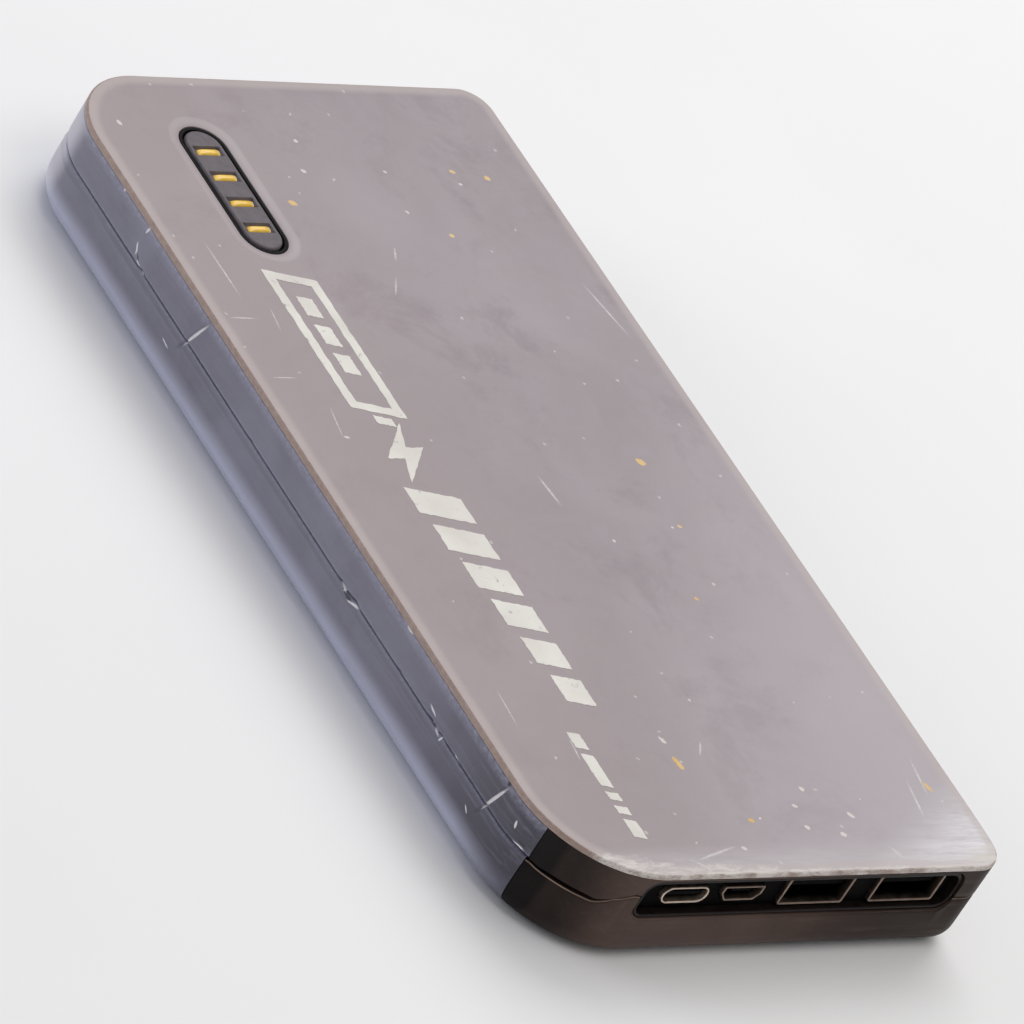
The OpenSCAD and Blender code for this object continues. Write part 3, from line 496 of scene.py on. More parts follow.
def face_paint():
    """Sprayed acrylic lacquer, matt mauve-grey, smudged by handling and chipped to a yellow primer.

    The eye gets a soft low gloss, cloudy patches a few centimetres wide, and small sharp chips and lines.
    """
    material, add, shader, place = new_finish("worn_mauve_lacquer", IOR=1.5, Metallic=0.0)
    colours = bpy.context.scene.bank_colours
    axes = add("SeparateXYZ", [place], out=None).outputs
    inset = add("Attribute", out="Fac", attribute_name="inset")
    rim = add("Attribute", out="Fac", attribute_name="rim")
    dish = add("Attribute", out="Fac", attribute_name="dish")
    # smudges about 40 mm, 20 mm and 12 mm across, from hands and dust
    smudges = ((0.026, 5.0, 0.58, 0.5), (0.05, 9.0, 0.74, 0.3), (0.085, 8.0, 0.66, 1.2))
    cloud, dusk, smoke = (
        add("TexNoise", {0: place, "Scale": scale, "Detail": fine, "Roughness": rough, "Distortion": bend})
        for scale, fine, rough, bend in smudges
    )
    # ragged edges of wear about 1 mm across, torn ones about 0.6 mm, and streaks along the port end
    ragged = add("TexNoise", {"Vector": place, "Scale": 0.9, "Detail": 6.0, "Roughness": 0.75})
    torn = add("TexNoise", {"Vector": place, "Scale": 1.6, "Detail": 4.0, "Roughness": 0.7})
    along = add("VectorMath", [place, (0.12, 1.1, 1.0)], operation="MULTIPLY")
    streak = add("TexNoise", {"Vector": along, "Scale": 1.0, "Detail": 6.0, "Roughness": 0.7})
    drawn = add("VectorMath", [place, (0.35, 1.5, 1.0)], operation="MULTIPLY")
    drawn = add("TexNoise", {"Vector": drawn, "Scale": 0.55, "Detail": 8.0, "Roughness": 0.78})

    paint = [(0.30, colours.plate_dark), (0.70, colours.plate_light), (0.5, "#9D9296")]
    base = add("ValToRGB", [cloud], paint)
    smudge = add("MapRange", [smoke, 0.35, 0.72, 0.0, 0.55], **SOFT)
    dusk = add("MapRange", [dusk, 0.50, 0.68, 0.0, 0.55], **SOFT)
    # warmer towards the left, cooler towards the right
    warm = add("MapRange", [axes[0], 5.0, LEFT + 0.5, 0.0, 0.62])
    # paler towards the port end and the right-hand edge: a painted broad sheen
    slope = add("VectorMath", [place, (0.0085, -0.0050, 0.0)], out="Value", operation="DOT_PRODUCT")
    sheen_fade = add("MapRange", [slope, 0.05, 0.75, 0.0, 0.62], **SOFT)
    # pale band along the port end, broken into streaks, and the right-hand corner: painted sheen and a
    # painted white highlight
    shoulder = add("MapRange", [axes[1], NEAR + 6.5, NEAR + 1.5, 0.0, 1.0], **SOFT)
    broken = add("MapRange", [streak, 0.25, 0.65, 0.35, 0.95])
    band = add("Math", [shoulder, broken], operation="MULTIPLY")
    corner = add("VectorMath", [place, (0.55, -0.83, 0.0)], out="Value", operation="DOT_PRODUCT")
    corner = add("MapRange", [corner, 76.0, 91.0, 0.0, 1.0], **SOFT)
    broken = add("MapRange", [streak, 0.3, 0.6, 0.35, 1.0])
    corner = add("Math", [corner, broken], operation="MULTIPLY")
    # warm tan tone on the plate's rim, a paler line just inside it, and the button's pale surround, a
    # painted highlight round the dish
    rim_tan = add("MapRange", [rim, 0.35, 0.6, 0.0, 1.0])
    rim_tan_tone = add("ValToRGB", [ragged], [(0.3, "#937C72"), (0.7, "#AE998E")])
    line = add("MapRange", [inset, 2.6, 1.0, 0.0, 0.55], **SOFT)
    line = add("Math", [line, add("Math", [1.0, rim_tan], operation="SUBTRACT")], operation="MULTIPLY")
    dish = add("Math", [dish, 0.55], operation="MULTIPLY")
    # flaked lacquer along the port end's edge, heaviest round the left corner and at the right corner
    flake = scatter_marks(add, place, [
        ((-29.0, -83.5, TOP), (0.0, 0.0, -0.22), (16.0, 3.0, MARK_DEPTH)),
        ((-14.0, -84.3, TOP), (0.0, 0.0, 0.0), (14.0, 1.7, MARK_DEPTH)),
        ((41.0, -83.0, TOP), (0.0, 0.0, 0.35), (9.0, 3.2, MARK_DEPTH)),
        ((10.0, -84.9, TOP), (0.0, 0.0, 0.0), (44.0, 1.0, MARK_DEPTH)),
    ])
    flake = add("Math", [flake, ragged], operation="ADD")
    flake = add("MapRange", [flake, 0.64, 0.96, 0.0, 1.0])
    drawn = add("MapRange", [drawn, 0.42, 0.56, 0.1, 1.0])
    flake = add("Math", [flake, drawn], operation="MULTIPLY")
    # single scratches down to the primer
    lines = scatter_marks(add, place, face_marks(
        (0.4, -2.0, 1.3, -9.8, 0.34), (2.5, 47.6, 0.7, 44.0, 0.26), (-1.1, 41.0, -4.1, 36.1, 0.20),
        (-2.2, -58.2, -4.4, -61.6, 0.22), (-35.1, 48.4, -34.9, 34.4, 0.24), (-40.2, 30.9, -33.9, 30.7, 0.18),
        (-18.6, -82.3, -8.4, -79.5, 0.30), (-19.8, -81.6, -15.0, -84.4, 0.22),
        (-27.2, -56.8, -27.9, -62.2, 0.22),
        (20.6, -80.0, 22.8, -83.4, 0.30), (30.6, -80.2, 29.8, -84.2, 0.26), (33.4, -66.4, 31.6, -76.0, 0.30),
        (37.0, -62.0, 35.4, -71.0, 0.26), (-39.4, 18.0, -33.7, 17.9, 0.16), (-31.4, 12.5, -33.0, 4.5, 0.16),
        (-35.0, -46.8, -35.6, -55.0, 0.18), (-30.5, 33.5, -31.5, 27.5, 0.15), (36.0, 41.0, 38.6, 27.5, 0.30),
    ))
    lines = add("MapRange", [lines, 0.05, 0.55, 0.0, 1.0])
    broken = add("MapRange", [torn, 0.35, 0.6, 0.3, 0.95])
    lines = add("Math", [lines, broken], operation="MULTIPLY")
    # chips through to the yellow primer
    chips = scatter_marks(add, place, face_marks(
        (-13.4, 57.2, -11.2, 56.2, 0.95), (24.0, 65.4, 25.6, 64.7, 0.6), (30.4, 64.3, 32.0, 63.3, 0.8),
        (15.2, 50.7, 16.2, 49.9, 0.6), (22.2, 1.4, 24.2, -0.6, 0.95), (21.8, -13.0, 22.6, -14.0, 0.5),
        (15.4, -28.4, 16.2, -29.4, 0.45), (-9.9, -60.8, -9.1, -64.8, 0.85), (-3.4, -74.2, -1.9, -75.0, 0.75),
        (36.0, -67.0, 37.2, -70.2, 0.6),
    ))
    chips = add("Math", [chips, torn], operation="ADD")
    chips = add("MapRange", [chips, 0.82, 0.92, 0.0, 1.0])
    primer = add("ValToRGB", [smoke], [(0.40, "#DDAD52"), (0.60, "#EBD0A0")])
    # flecks down to the white filler
    flecks = scatter_marks(add, place, face_marks(
        (-36.7, 74.7, -36.2, 72.9, 0.55), (-3.8, 71.4, -2.8, 70.6, 0.55), (-6.5, 64.6, -5.2, 63.6, 0.6),
        (24.3, 62.6, 25.2, 61.8, 0.45), (10.4, 64.8, 11.2, 64.2, 0.40), (9.4, 55.8, 10.2, 55.0, 0.40),
        (-32.8, 5.4, -31.4, 5.2, 0.35), (-10.0, -57.0, -9.2, -59.2, 0.65), (10.8, -68.0, 11.8, -69.0, 0.7),
        (7.0, -71.4, 8.4, -72.4, 0.5), (16.9, -73.2, 18.1, -75.0, 0.6), (6.8, -75.8, 7.9, -76.7, 0.65),
        (12.9, -77.3, 14.2, -78.4, 0.75), (-8.2, -79.8, -7.0, -80.4, 0.5), (-0.9, -74.0, -0.5, -74.4, 0.4),
        (6.8, -16.2, 7.3, -17.0, 0.40), (20.4, -13.4, 20.9, -14.0, 0.35), (0.6, -49.6, 1.2, -50.4, 0.35),
    ))
    flecks = add("Math", [flecks, torn], operation="ADD")
    flecks = add("MapRange", [flecks, 0.80, 0.92, 0.0, 0.95])
    # fine pale specks about 0.4 mm across, one every 8 mm or so
    shake = add("TexNoise", {"Vector": place, "Scale": 2.0, "Detail": 2.0}, out=1)
    shake = add("VectorMath", [place, shake], operation="ADD")
    cells = add("TexVoronoi", {"Vector": shake, "Scale": 0.13}, out=None, voronoi_dimensions="2D")
    speck = add("MapRange", [cells.outputs["Distance"], 0.042, 0.020, 0.0, 0.75])
    pick = add("SeparateColor", [cells.outputs["Color"]])
    pick = add("MapRange", [pick, 0.74, 0.76, 0.0, 1.0])
    speck = add("Math", [speck, pick], operation="MULTIPLY")

    # of these layers, the fade, the port-end band and the right-hand corner are painted sheen and highlight,
    # and the dish is a painted highlight
    layers = (
        (smudge, "#ABA1A7"), (dusk, "#8B7E84"), (warm, "#A59695"), (sheen_fade, "#C2BABE"), (band, "#C6BFC2"),
        (corner, "#F0EEF0"), (rim_tan, rim_tan_tone), (line, "#C2B6B2"), (dish, "#BDB3B5"),
        (flake, "#DDD6D0"), (lines, "#DAD5D2"), (chips, primer), (flecks, "#DCD5D0"), (speck, "#D6CFCC"),
    )
    for mask, tone in layers:
        base = add("Mix", {0: mask, 6: base, 7: tone}, out=2, data_type="RGBA")
    # handling polishes the lacquer in patches
    rough = add("MapRange", [smoke, 0.3, 0.7, 0.42, 0.60])
    # spray grain of about 0.35 mm, sunk at scratches, chips and flakes
    grain = add("TexNoise", {"Vector": place, "Scale": 2.8, "Detail": 3.0, "Roughness": 0.6})
    wear_and_shade = add("Math", [lines, chips], operation="MAXIMUM")
    wear_and_shade = add("Math", [wear_and_shade, flake], operation="MAXIMUM")
    height = add("Math", [wear_and_shade, -1.2, grain], operation="MULTIPLY_ADD")
    bump = add("Bump", {"Height": height, "Strength": 0.30, "Distance": 0.00006})
    return close_finish(material, shader, base, bump, rough)


def slate_plastic(name, upper):
    """Moulded ABS of the side bands, satin slate, scuffed, with rubbed edges and two cross scratches.

    The eye gets a low sheen with fine grain, lengthwise scuffs, and pale edges along the seam that are
    partly rubbed wear and partly a painted highlight.
    """
    material, add, shader, place = new_finish(name, IOR=1.52, Metallic=0.0)
    colours = bpy.context.scene.bank_colours
    axes = add("SeparateXYZ", [place], out=None).outputs
    # mottling about 20 mm across, scuffs drawn along the body, and torn edges of wear under 1 mm
    mottle = {"Scale": 0.05, "Detail": 6.0, "Roughness": 0.62, "Distortion": 0.8}
    cloud = add("TexNoise", {"Vector": place, **mottle})
    drag = add("VectorMath", [place, (1.0, 0.05, 1.0)], operation="MULTIPLY")
    scuff = add("TexNoise", {"Vector": drag, "Scale": 0.9, "Detail": 6.0, "Roughness": 0.7})
    torn = add("TexNoise", {"Vector": place, "Scale": 1.3, "Detail": 5.0, "Roughness": 0.75})

    base = add("ValToRGB", [cloud], [(0.3, colours.slate_dark), (0.7, colours.slate_light)])
    # darker towards the port end: painted shade
    port_end_shade = add("MapRange", [axes[1], -34.0, -74.0, 0.0, 0.95], **SOFT)
    layers = [(port_end_shade, "#3D3B47")]
    if not upper:
        # dark line under the seam, painted shade in the step there, and the pale lower edge, a painted
        # reflection of the floor, which ends before the port end
        groove = add("MapRange", [axes[2], SEAM - 1.7, SEAM - 1.3, 0.0, 0.30])
        floor_sheen = add("MapRange", [axes[2], 6.4, 2.6, 0.0, 0.92], **SOFT)
        sheen_fade = add("MapRange", [axes[1], -60.0, -74.0, 1.0, 0.12])
        floor_sheen = add("Math", [floor_sheen, sheen_fade], operation="MULTIPLY")
        layers += [(groove, "#5B5968"), (floor_sheen, "#BEC0D4")]
    scuff = add("MapRange", [scuff, 0.50, 0.72, 0.0, 0.35])
    # pale corner at the far left: painted highlight, where a rim light would run down the vertical corner
    corner = add("VectorMath", [place, (-0.80, 0.60, 0.0)], out="Value", operation="DOT_PRODUCT")
    corner = add("MapRange", [corner, 77.2, 78.9, 0.0, 0.6], **SOFT)
    # pale edge at the seam, partly rubbed wear and partly a painted highlight along its lip, and rubbed pale
    # patches under the face plate on the upper band
    seam = SEAM + SEAM_GAP if upper else SEAM
    way = 0.75 if upper else -0.75
    edge = add("MapRange", [axes[2], seam + way, seam, 0.0, 0.5])
    if upper:
        top_edge = add("MapRange", [axes[2], PLATE_LOW - 1.7, PLATE_LOW - 0.2, 0.0, 0.75])
        edge = add("Math", [edge, top_edge], operation="MAXIMUM")
    broken = add("MapRange", [torn, 0.38, 0.66, 0.2, 1.0])
    edge = add("Math", [edge, broken], operation="MULTIPLY")
    # painted shade in the dents, and scratches show white
    pit_shade = scatter_marks(add, place, side_marks(
        (31.9, 17.6, 32.3, 16.2, 0.5), (51.4, 11.9, 49.8, 10.9, 0.34), (-17.6, 10.0, -22.0, 9.6, 0.55),
        (-46.8, 10.9, -48.0, 10.4, 0.35), (-65.2, 17.6, -64.6, 15.6, 0.55), (-71.0, 11.4, -73.4, 11.5, 0.30),
    ))
    pit_shade = add("Math", [pit_shade, torn], operation="ADD")
    pit_shade = add("MapRange", [pit_shade, 0.82, 1.0, 0.0, 0.85])
    marks = scatter_marks(add, place, side_marks(
        (31.0, 16.3, 33.9, 8.6, 0.36), (-65.3, 16.3, -62.6, 8.5, 0.36), (60.6, 17.4, 60.0, 16.0, 0.40),
        (51.6, 16.6, 51.8, 15.2, 0.28), (52.2, 13.4, 51.5, 10.9, 0.26), (50.8, 11.2, 47.9, 9.9, 0.24),
        (-16.6, 10.4, -19.6, 9.9, 0.22), (-20.0, 9.2, -23.4, 10.2, 0.26), (-18.6, 9.6, -19.3, 10.6, 0.22),
        (-44.3, 12.2, -46.8, 11.4, 0.26), (-46.4, 10.8, -49.0, 9.6, 0.26), (-49.4, 10.3, -49.2, 9.2, 0.24),
        (-53.4, 10.9, -55.2, 10.2, 0.20), (-32.4, 16.6, -34.8, 16.5, 0.30), (-69.5, 13.8, -69.9, 12.2, 0.28),
        (-70.2, 10.5, -73.2, 10.9, 0.28), (-60.0, 7.4, -61.4, 6.4, 0.18), (38.0, 7.0, 35.5, 6.6, 0.16),
    ))
    marks = add("MapRange", [marks, 0.05, 0.45, 0.0, 1.0])
    broken = add("MapRange", [torn, 0.30, 0.48, 0.35, 1.0])
    marks = add("Math", [marks, broken], operation="MULTIPLY")
    # of these, the corner is a painted highlight, the edge partly one, and the pits are painted shade
    layers += [
        (scuff, "#8B8999"), (corner, "#DAD7DE"), (edge, "#A4A4BA"), (pit_shade, "#2B2933"), (marks, "#E6E2E4"),
    ]

    for mask, tone in layers:
        base = add("Mix", {0: mask, 6: base, 7: tone}, out=2, data_type="RGBA")
    rough = add("MapRange", [cloud, 0.3, 0.7, 0.36, 0.50])
    # spark-eroded mould grain, 0.3 mm
    grain = add("TexNoise", {"Vector": place, "Scale": 3.2, "Detail": 3.0, "Roughness": 0.6})
    height = add("Math", [marks, -1.0, grain], operation="MULTIPLY_ADD")
    bump = add("Bump", {"Height": height, "Strength": 0.25, "Distance": 0.00006})
    return close_finish(material, shader, base, bump, rough)


def brown_plastic():
    """Moulded ABS of the port end, satin dark brown, with painted shade that darkens it towards the left
    corner and to the right.

    The eye gets an almost black brown with a faint warm sheen, level scuffs, and a painted highlight along
    the lip at the seam.
    """
    material, add, shader, place = new_finish(
        "satin_brown_abs", IOR=1.5, Metallic=0.0, **{"Specular IOR Level": 0.16},
    )
    colours = bpy.context.scene.bank_colours
    axes = add("SeparateXYZ", [place], out=None).outputs
    # mottling about 12 mm across, and scuffs drawn across the end
    mottle = {"Scale": 0.08, "Detail": 6.0, "Roughness": 0.65, "Distortion": 0.6}
    cloud = add("TexNoise", {"Vector": place, **mottle})
    drag = add("VectorMath", [place, (0.08, 1.0, 1.0)], operation="MULTIPLY")
    scuff = add("TexNoise", {"Vector": drag, "Scale": 1.1, "Detail": 6.0, "Roughness": 0.7})

    base = add("ValToRGB", [cloud], [(0.3, colours.brown_dark), (0.7, colours.brown_light)])
    # darker to the right, and black at the left corner and at the cap's cut: painted shade, with a painted
    # dark reflection in the rounded left corner
    wear_and_shade = add("MapRange", [axes[0], -8.0, 26.0, 0.0, 0.8], **SOFT)
    corner_shade = add("MapRange", [axes[0], -29.0, -37.5, 0.0, 0.80], **SOFT)
    edge = add("MapRange", [axes[0], -38.6, -39.2, 0.0, 0.18])
    corner_shade = add("Math", [corner_shade, edge], operation="ADD")
    scuff = add("MapRange", [scuff, 0.52, 0.75, 0.0, 0.35])
    # scuffs are left out where the painted shade is
    unshaded = add("Math", [1.0, corner_shade], operation="SUBTRACT")
    scuff = add("Math", [scuff, unshaded], operation="MULTIPLY")
    # pale line along the lower half's lip at the seam: a painted highlight, broken by the mottling
    lip = add("Attribute", out="Fac", attribute_name="lip")
    broken = add("MapRange", [cloud, 0.35, 0.60, 0.15, 0.9])
    lip = add("Math", [lip, broken], operation="MULTIPLY")

    # the first two tones are painted shade, and the lip's pale tone is a painted highlight
    for mask, tone in ((wear_and_shade, "#21150F"), (corner_shade, "#0C0807"), (scuff, "#6A5A54"), (lip, "#9A8474")):
        base = add("Mix", {0: mask, 6: base, 7: tone}, out=2, data_type="RGBA")
    rough = add("MapRange", [cloud, 0.3, 0.7, 0.40, 0.55])
    # spark-eroded mould grain, 0.3 mm
    grain = add("TexNoise", {"Vector": place, "Scale": 3.2, "Detail": 3.0, "Roughness": 0.6})
    bump = add("Bump", {"Height": grain, "Strength": 0.25, "Distance": 0.00006})
    return close_finish(material, shader, base, bump, rough)


def worn_print():
    """Screen-printed ink, satin off-white, which the eye sees rubbed through in spots of about 2 mm."""
    material, add, shader, place = new_finish("worn_screen_print", IOR=1.5, Metallic=0.0, Roughness=0.55)
    rubbed = {"Scale": 0.55, "Detail": 8.0, "Roughness": 0.72, "Distortion": 0.4}
    wear = add("TexNoise", {"Vector": place, **rubbed})
    tone = add("TexNoise", {"Vector": place, "Scale": 0.12, "Detail": 4.0})
    white = add("ValToRGB", [tone], [(0.3, "#DDD8D0"), (0.7, "#EFECE4")])
    gone = add("MapRange", [wear, 0.60, 0.68, 0.0, 0.85])
    base = add("Mix", {0: gone, 6: white, 7: "#A2969A"}, out=2, data_type="RGBA")
    bump = add("Bump", {"Height": wear, "Strength": 0.2, "Distance": 0.00005})
    return close_finish(material, shader, base, bump)


def plain_finish(name, dark, light, grain_mm, rough, metallic=0.0, ior=1.5, bump=0.2, layer=None, **more):
    """Finish with a tone and gloss that drift over a few grains, for pieces with one even surface.

    layer is a second tone that comes in along an axis: the axis, where it starts, where it is full, how
    much of it there is, and its colour.
    """
    material, add, shader, place = new_finish(name, Metallic=metallic, IOR=ior, **more)
    drift = add("TexNoise", {"Vector": place, "Scale": 0.25 / grain_mm, "Detail": 6.0, "Roughness": 0.65})
    tone = add("ValToRGB", [drift], [(0.32, dark), (0.68, light)])
    if layer:
        axis, start, full, amount, second = layer
        way = add("SeparateXYZ", [place], out=axis)
        way = add("MapRange", [way, start, full, 0.0, amount])
        tone = add("Mix", {0: way, 6: tone, 7: second}, out=2, data_type="RGBA")
    gloss = add("MapRange", [drift, 0.3, 0.7, *rough])
    grain = add("TexNoise", {"Vector": place, "Scale": 1.0 / grain_mm, "Detail": 4.0, "Roughness": 0.6})
    lift = add("Bump", {"Height": grain, "Strength": bump, "Distance": 0.00004})
    return close_finish(material, shader, tone, lift, gloss)


def floor_paper():
    """Background paper, matt and almost white, with a tone that drifts over 100 mm."""
    material, add, shader, place = new_finish("pale_paper_floor", Roughness=0.9, IOR=1.4)
    drift = add("TexNoise", {"Vector": place, "Scale": 0.01, "Detail": 3.0})
    tone = add("ValToRGB", [drift], [(0.3, "#FAFAFA"), (0.7, "#FDFDFD")])
    return close_finish(material, shader, tone)


def finishes():
    """Makes every finish once, under the name of its slot.

    Rows give the finish's name, its dark and light tone, the grain in millimetres, the range of roughness
    and what else differs from plain plastic.
    """
    if FINISHES:
        return FINISHES
    colours = bpy.context.scene.bank_colours
    # the sockets' sheet darkens from its bright mouth inwards, a painted shade inside the sockets, and the
    # lights have a painted white highlight at their right-hand end
    inside = {"metallic": 1.0, "layer": (1, MOUTH + 0.5, MOUTH + 1.6, 0.93, "#15100E")}
    deep_inside = {"metallic": 1.0, "layer": (1, MOUTH + 0.5, MOUTH + 1.6, 0.93, "#110D0B")}
    tip_highlight = {"ior": 1.58, "bump": 0.05, "layer": (0, BUTTON[0] + 1.7, BUTTON[0] + 2.3, 0.85, "#F8EBCF")}
    amber = (colours.amber_dark, colours.amber_light)
    metal = {"metallic": 1.0}
    dusty = {"Specular IOR Level": 0.06}
    silicone = {"ior": 1.41, **DULL}
    rows = {
        # moulded ABS, spark-eroded: near-black brown with a satin sheen
        "brown_bezel": ("satin_brown_abs_bezel", "#120D0B", "#1F1815", 0.4, (0.35, 0.5), DULL),
        # matt black ABS, spark-eroded: swallows the light behind the sockets
        "black_plastic": ("matt_black_abs", "#040303", "#0A0808", 0.3, (0.6, 0.75), dusty),
        # moulded black silicone: soft and dull
        "black_rubber": ("matt_black_silicone", "#070505", "#0F0C0B", 0.4, (0.55, 0.7), silicone),
        # satin slate ABS, finer than the bands
        "button_grey": ("satin_slate_abs_button", "#5D565B", "#716A6F", 0.35, (0.35, 0.5), DULL),
        # polished amber polycarbonate with a painted white highlight at its right-hand end: the only strong
        # colour on the body
        "amber_window": ("amber_polycarbonate", *amber, 0.6, (0.2, 0.3), tip_highlight),
        # nickel-plated steel, stamped: bright on one socket, darker brown on the others
        "bright_shell": ("bright_nickel_plate", "#CDB9A6", "#EADCCE", 0.5, (0.35, 0.5), inside),
        "port_shell": ("dull_nickel_plate", "#7C6C61", "#A39285", 0.5, (0.35, 0.5), deep_inside),
        # thin gold on nickel: warm glints on the contacts
        "gold_contact": ("gold_flash", "#C79A4C", "#DDB768", 0.3, (0.2, 0.35), metal),
        # glossy green lacquer over glass cloth
        "green_board": ("green_solder_mask", "#174B31", "#22643F", 0.5, (0.25, 0.4), {}),
        # transfer-moulded epoxy: dull near-black
        "chip_black": ("moulded_epoxy", "#17181A", "#232427", 0.3, (0.5, 0.65), {}),
        # pressed and fired powder: dry dark grey
        "ferrite": ("pressed_ferrite", "#3C3C40", "#515156", 0.25, (0.55, 0.7), {}),
        # deep-drawn aluminium: bright and smooth
        "can_aluminium": ("drawn_aluminium_can", "#B4B6BB", "#CDCFD3", 0.4, (0.25, 0.4), metal),
        # fired ceramic: sandy brown
        "chip_ceramic": ("fired_ceramic_chip", "#7D6A4C", "#A08C69", 0.2, (0.45, 0.6), {}),
        # zinc-plated steel: pale warm grey
        "screw_steel": ("zinc_plated_steel", "#9B9994", "#BDBBB5", 0.3, (0.25, 0.4), metal),
        # aluminium foil laminated with nylon: soft silver
        "cell_foil": ("laminated_foil", "#A6ABB3", "#C1C5CC", 1.2, (0.3, 0.45), metal),
        # rolled nickel strip: warm silver
        "nickel_tab": ("nickel_strip", "#BDB9AF", "#D3CFC5", 0.3, (0.25, 0.4), metal),
        # extruded silicone sleeve: soft red
        "red_lead": ("red_silicone_lead", "#9E2F29", "#BC4038", 0.4, (0.45, 0.6), {}),
        # coated paper tape: dull off-white
        "tape_white": ("double_sided_tape", "#CFCBC0", "#E0DDD3", 0.6, (0.6, 0.75), {}),
        # closed-cell foam: dry dark grey with open pores at its cut faces
        "foam_grey": ("closed_cell_foam", "#333235", "#464549", 0.5, (0.8, 0.95), {"bump": 0.5}),
        # cast clear epoxy over yellow phosphor
        "led_lens": ("clear_epoxy_lens", "#E6DDB6", "#F1EACB", 0.2, (0.1, 0.2), {"ior": 1.54}),
        # stamped stainless steel: grey and bright
        "switch_metal": ("stamped_stainless_steel", "#A9A7A2", "#C3C1BC", 0.3, (0.25, 0.4), metal),
        # polyimide film over copper: glossy amber brown
        "ribbon_amber": ("polyimide_film", "#AD7430", "#CC8C3D", 0.5, (0.2, 0.35), {"ior": 1.7}),
    }
    FINISHES.update(
        face_plate=face_paint(),
        face_print=worn_print(),
        slate_frame=slate_plastic("satin_slate_abs_band", True),
        slate_shell=slate_plastic("satin_slate_abs_tub", False),
        brown_cap=brown_plastic(),
    )
    for slot, (*look, more) in rows.items():
        FINISHES[slot] = plain_finish(*look, **more)
    return FINISHES


# ---- operators ----


class BANK_OT_face_plate(bpy.types.Operator):
    """Face plate: rolled edge, dished surround and the opening for the button"""

    bl_idname = "bank.face_plate"
    bl_label = "Face plate"

    def execute(self, context):
        """A closed ring of loops: each goes from the outline inwards over the shoulder, across the face to
        the pill opening, down its wall and back along the underside."""
        sizes = context.scene.bank_sizes
        outline = walk_outline()
        marks = np.arange(0, outline[0][-1], sizes.spacing * MM)
        where, inward = stations(outline, marks)
        x, y = where.T
        # the drop is greatest along the port end
        near_end = ease_step(NEAR + END_ROLL_START, NEAR + END_ROLL_FULL, y)
        drop = (sizes.side_roll_off + (sizes.roll_off - sizes.side_roll_off) * near_end) * MM
        radius = sizes.plate_edge * MM
        turn = np.linspace(0, np.pi / 2, 7)
        waves = wobble(np.append(marks, outline[0][-1]), RIM_GRAIN, RNG_SEED)[:-1]
        rough = RIM_WOBBLE * waves * (0.4 + near_end)
        # rim: from the bearing face up the side, round the edge and on to the shoulder
        u_rim = np.concatenate([[0.16, 0.04, 0.0, 0.0], radius * (1 - np.cos(turn)), [radius + 0.10]])
        z_rim = np.concatenate([[PLATE_LOW, PLATE_LOW + 0.04, PLATE_LOW + 0.16], [PLATE_LOW + 0.2],
                                TOP - radius + radius * np.sin(turn), [TOP]])
        u_shoulder = np.linspace(radius + 0.5, SHOULDER, 12)
        u = np.concatenate([u_rim, u_shoulder])
        sink = 1 - ease_step(0, SHOULDER, u)
        z = np.concatenate([z_rim, np.full(12, TOP)])
        upper = np.concatenate([np.zeros(4), np.ones(len(u) - 4)])
        worn_edge = np.clip(rough, 0, 1)[:, None] * (u < 1.2)
        outer = carry(where, inward, u[None] + worn_edge, z[None] - drop[:, None] * (sink * upper)[None])
        # dish: each loop is a pill round the button, and the face spans from the shoulder to the first
        edge_ring = outer[:, -1, :2]
        bearing = np.arctan2(*(edge_ring - BUTTON).T[::-1])
        half_run = CAP_HALF[1] - CAP_HALF[0]
        opening = CAP_HALF[0] + BUTTON_GAP + RING_WIDTH
        ray = np.stack([np.cos(bearing), np.sin(bearing)], 1)
        dish_share = np.linspace(0, 1, 9)
        dish_sizes = opening + DISH_WIDTH * (1 - dish_share)
        reach = np.stack([pill_reach(bearing, size, half_run) for size in dish_sizes], 1)
        dish = BUTTON + ray[:, None] * reach[..., None]
        dish_z = TOP - DISH_DEPTH * ease_step(0, 1, dish_share)
        dish = np.concatenate([dish, np.broadcast_to(dish_z[None, :, None], dish.shape[:2] + (1,))], 2)
        k = np.linspace(0, 1, 9)[1:-1][None, :, None]
        face = outer[:, -1:, :] * (1 - k) + dish[:, :1, :] * k
        hole_sizes = opening - HOLE_ROUND * np.array([0.3, 1, 1, 1])
        rim_of_hole = np.stack([pill_reach(bearing, size, half_run) for size in hole_sizes], 1)
        hole = BUTTON + ray[:, None] * rim_of_hole[..., None]
        hole_z = np.array([TOP - DISH_DEPTH - 0.02, TOP - DISH_DEPTH - 0.08, PLATE_LOW + 0.1, PLATE_LOW])
        hole = np.concatenate([hole, np.broadcast_to(hole_z[None, :, None], hole.shape[:2] + (1,))], 2)
        under = carry(where, inward, np.array([[SHOULDER, 0.6]]), np.array([[PLATE_LOW, PLATE_LOW]]))
        grid = np.concatenate([outer, face, dish, hole, under], 1)
        # how far each loop lies from the outline, whether it is on the rim, and how much of the dish's
        # painted highlight it takes
        columns = grid.shape[1]
        inset = np.full(columns, 6.0)
        inset[:len(u)] = u
        inset[-1] = 0.6
        rim = np.zeros(columns)
        rim[:len(u)] = ease_step(radius * 1.25, radius * 0.55, u)
        rim[-2:] = 1
        surround = np.zeros(columns)
        start = len(u) + face.shape[1]
        surround[start:start + 9] = np.sin(np.pi * np.clip(dish_share * 1.15, 0, 1)) ** 0.7
        piece = Piece("face_plate")
        piece.grid(grid, wrap_rows=True, inset=inset[None], rim=rim[None], dish=surround[None])
        piece.build("housing", "face_plate", "top_panel")
        return {"FINISHED"}


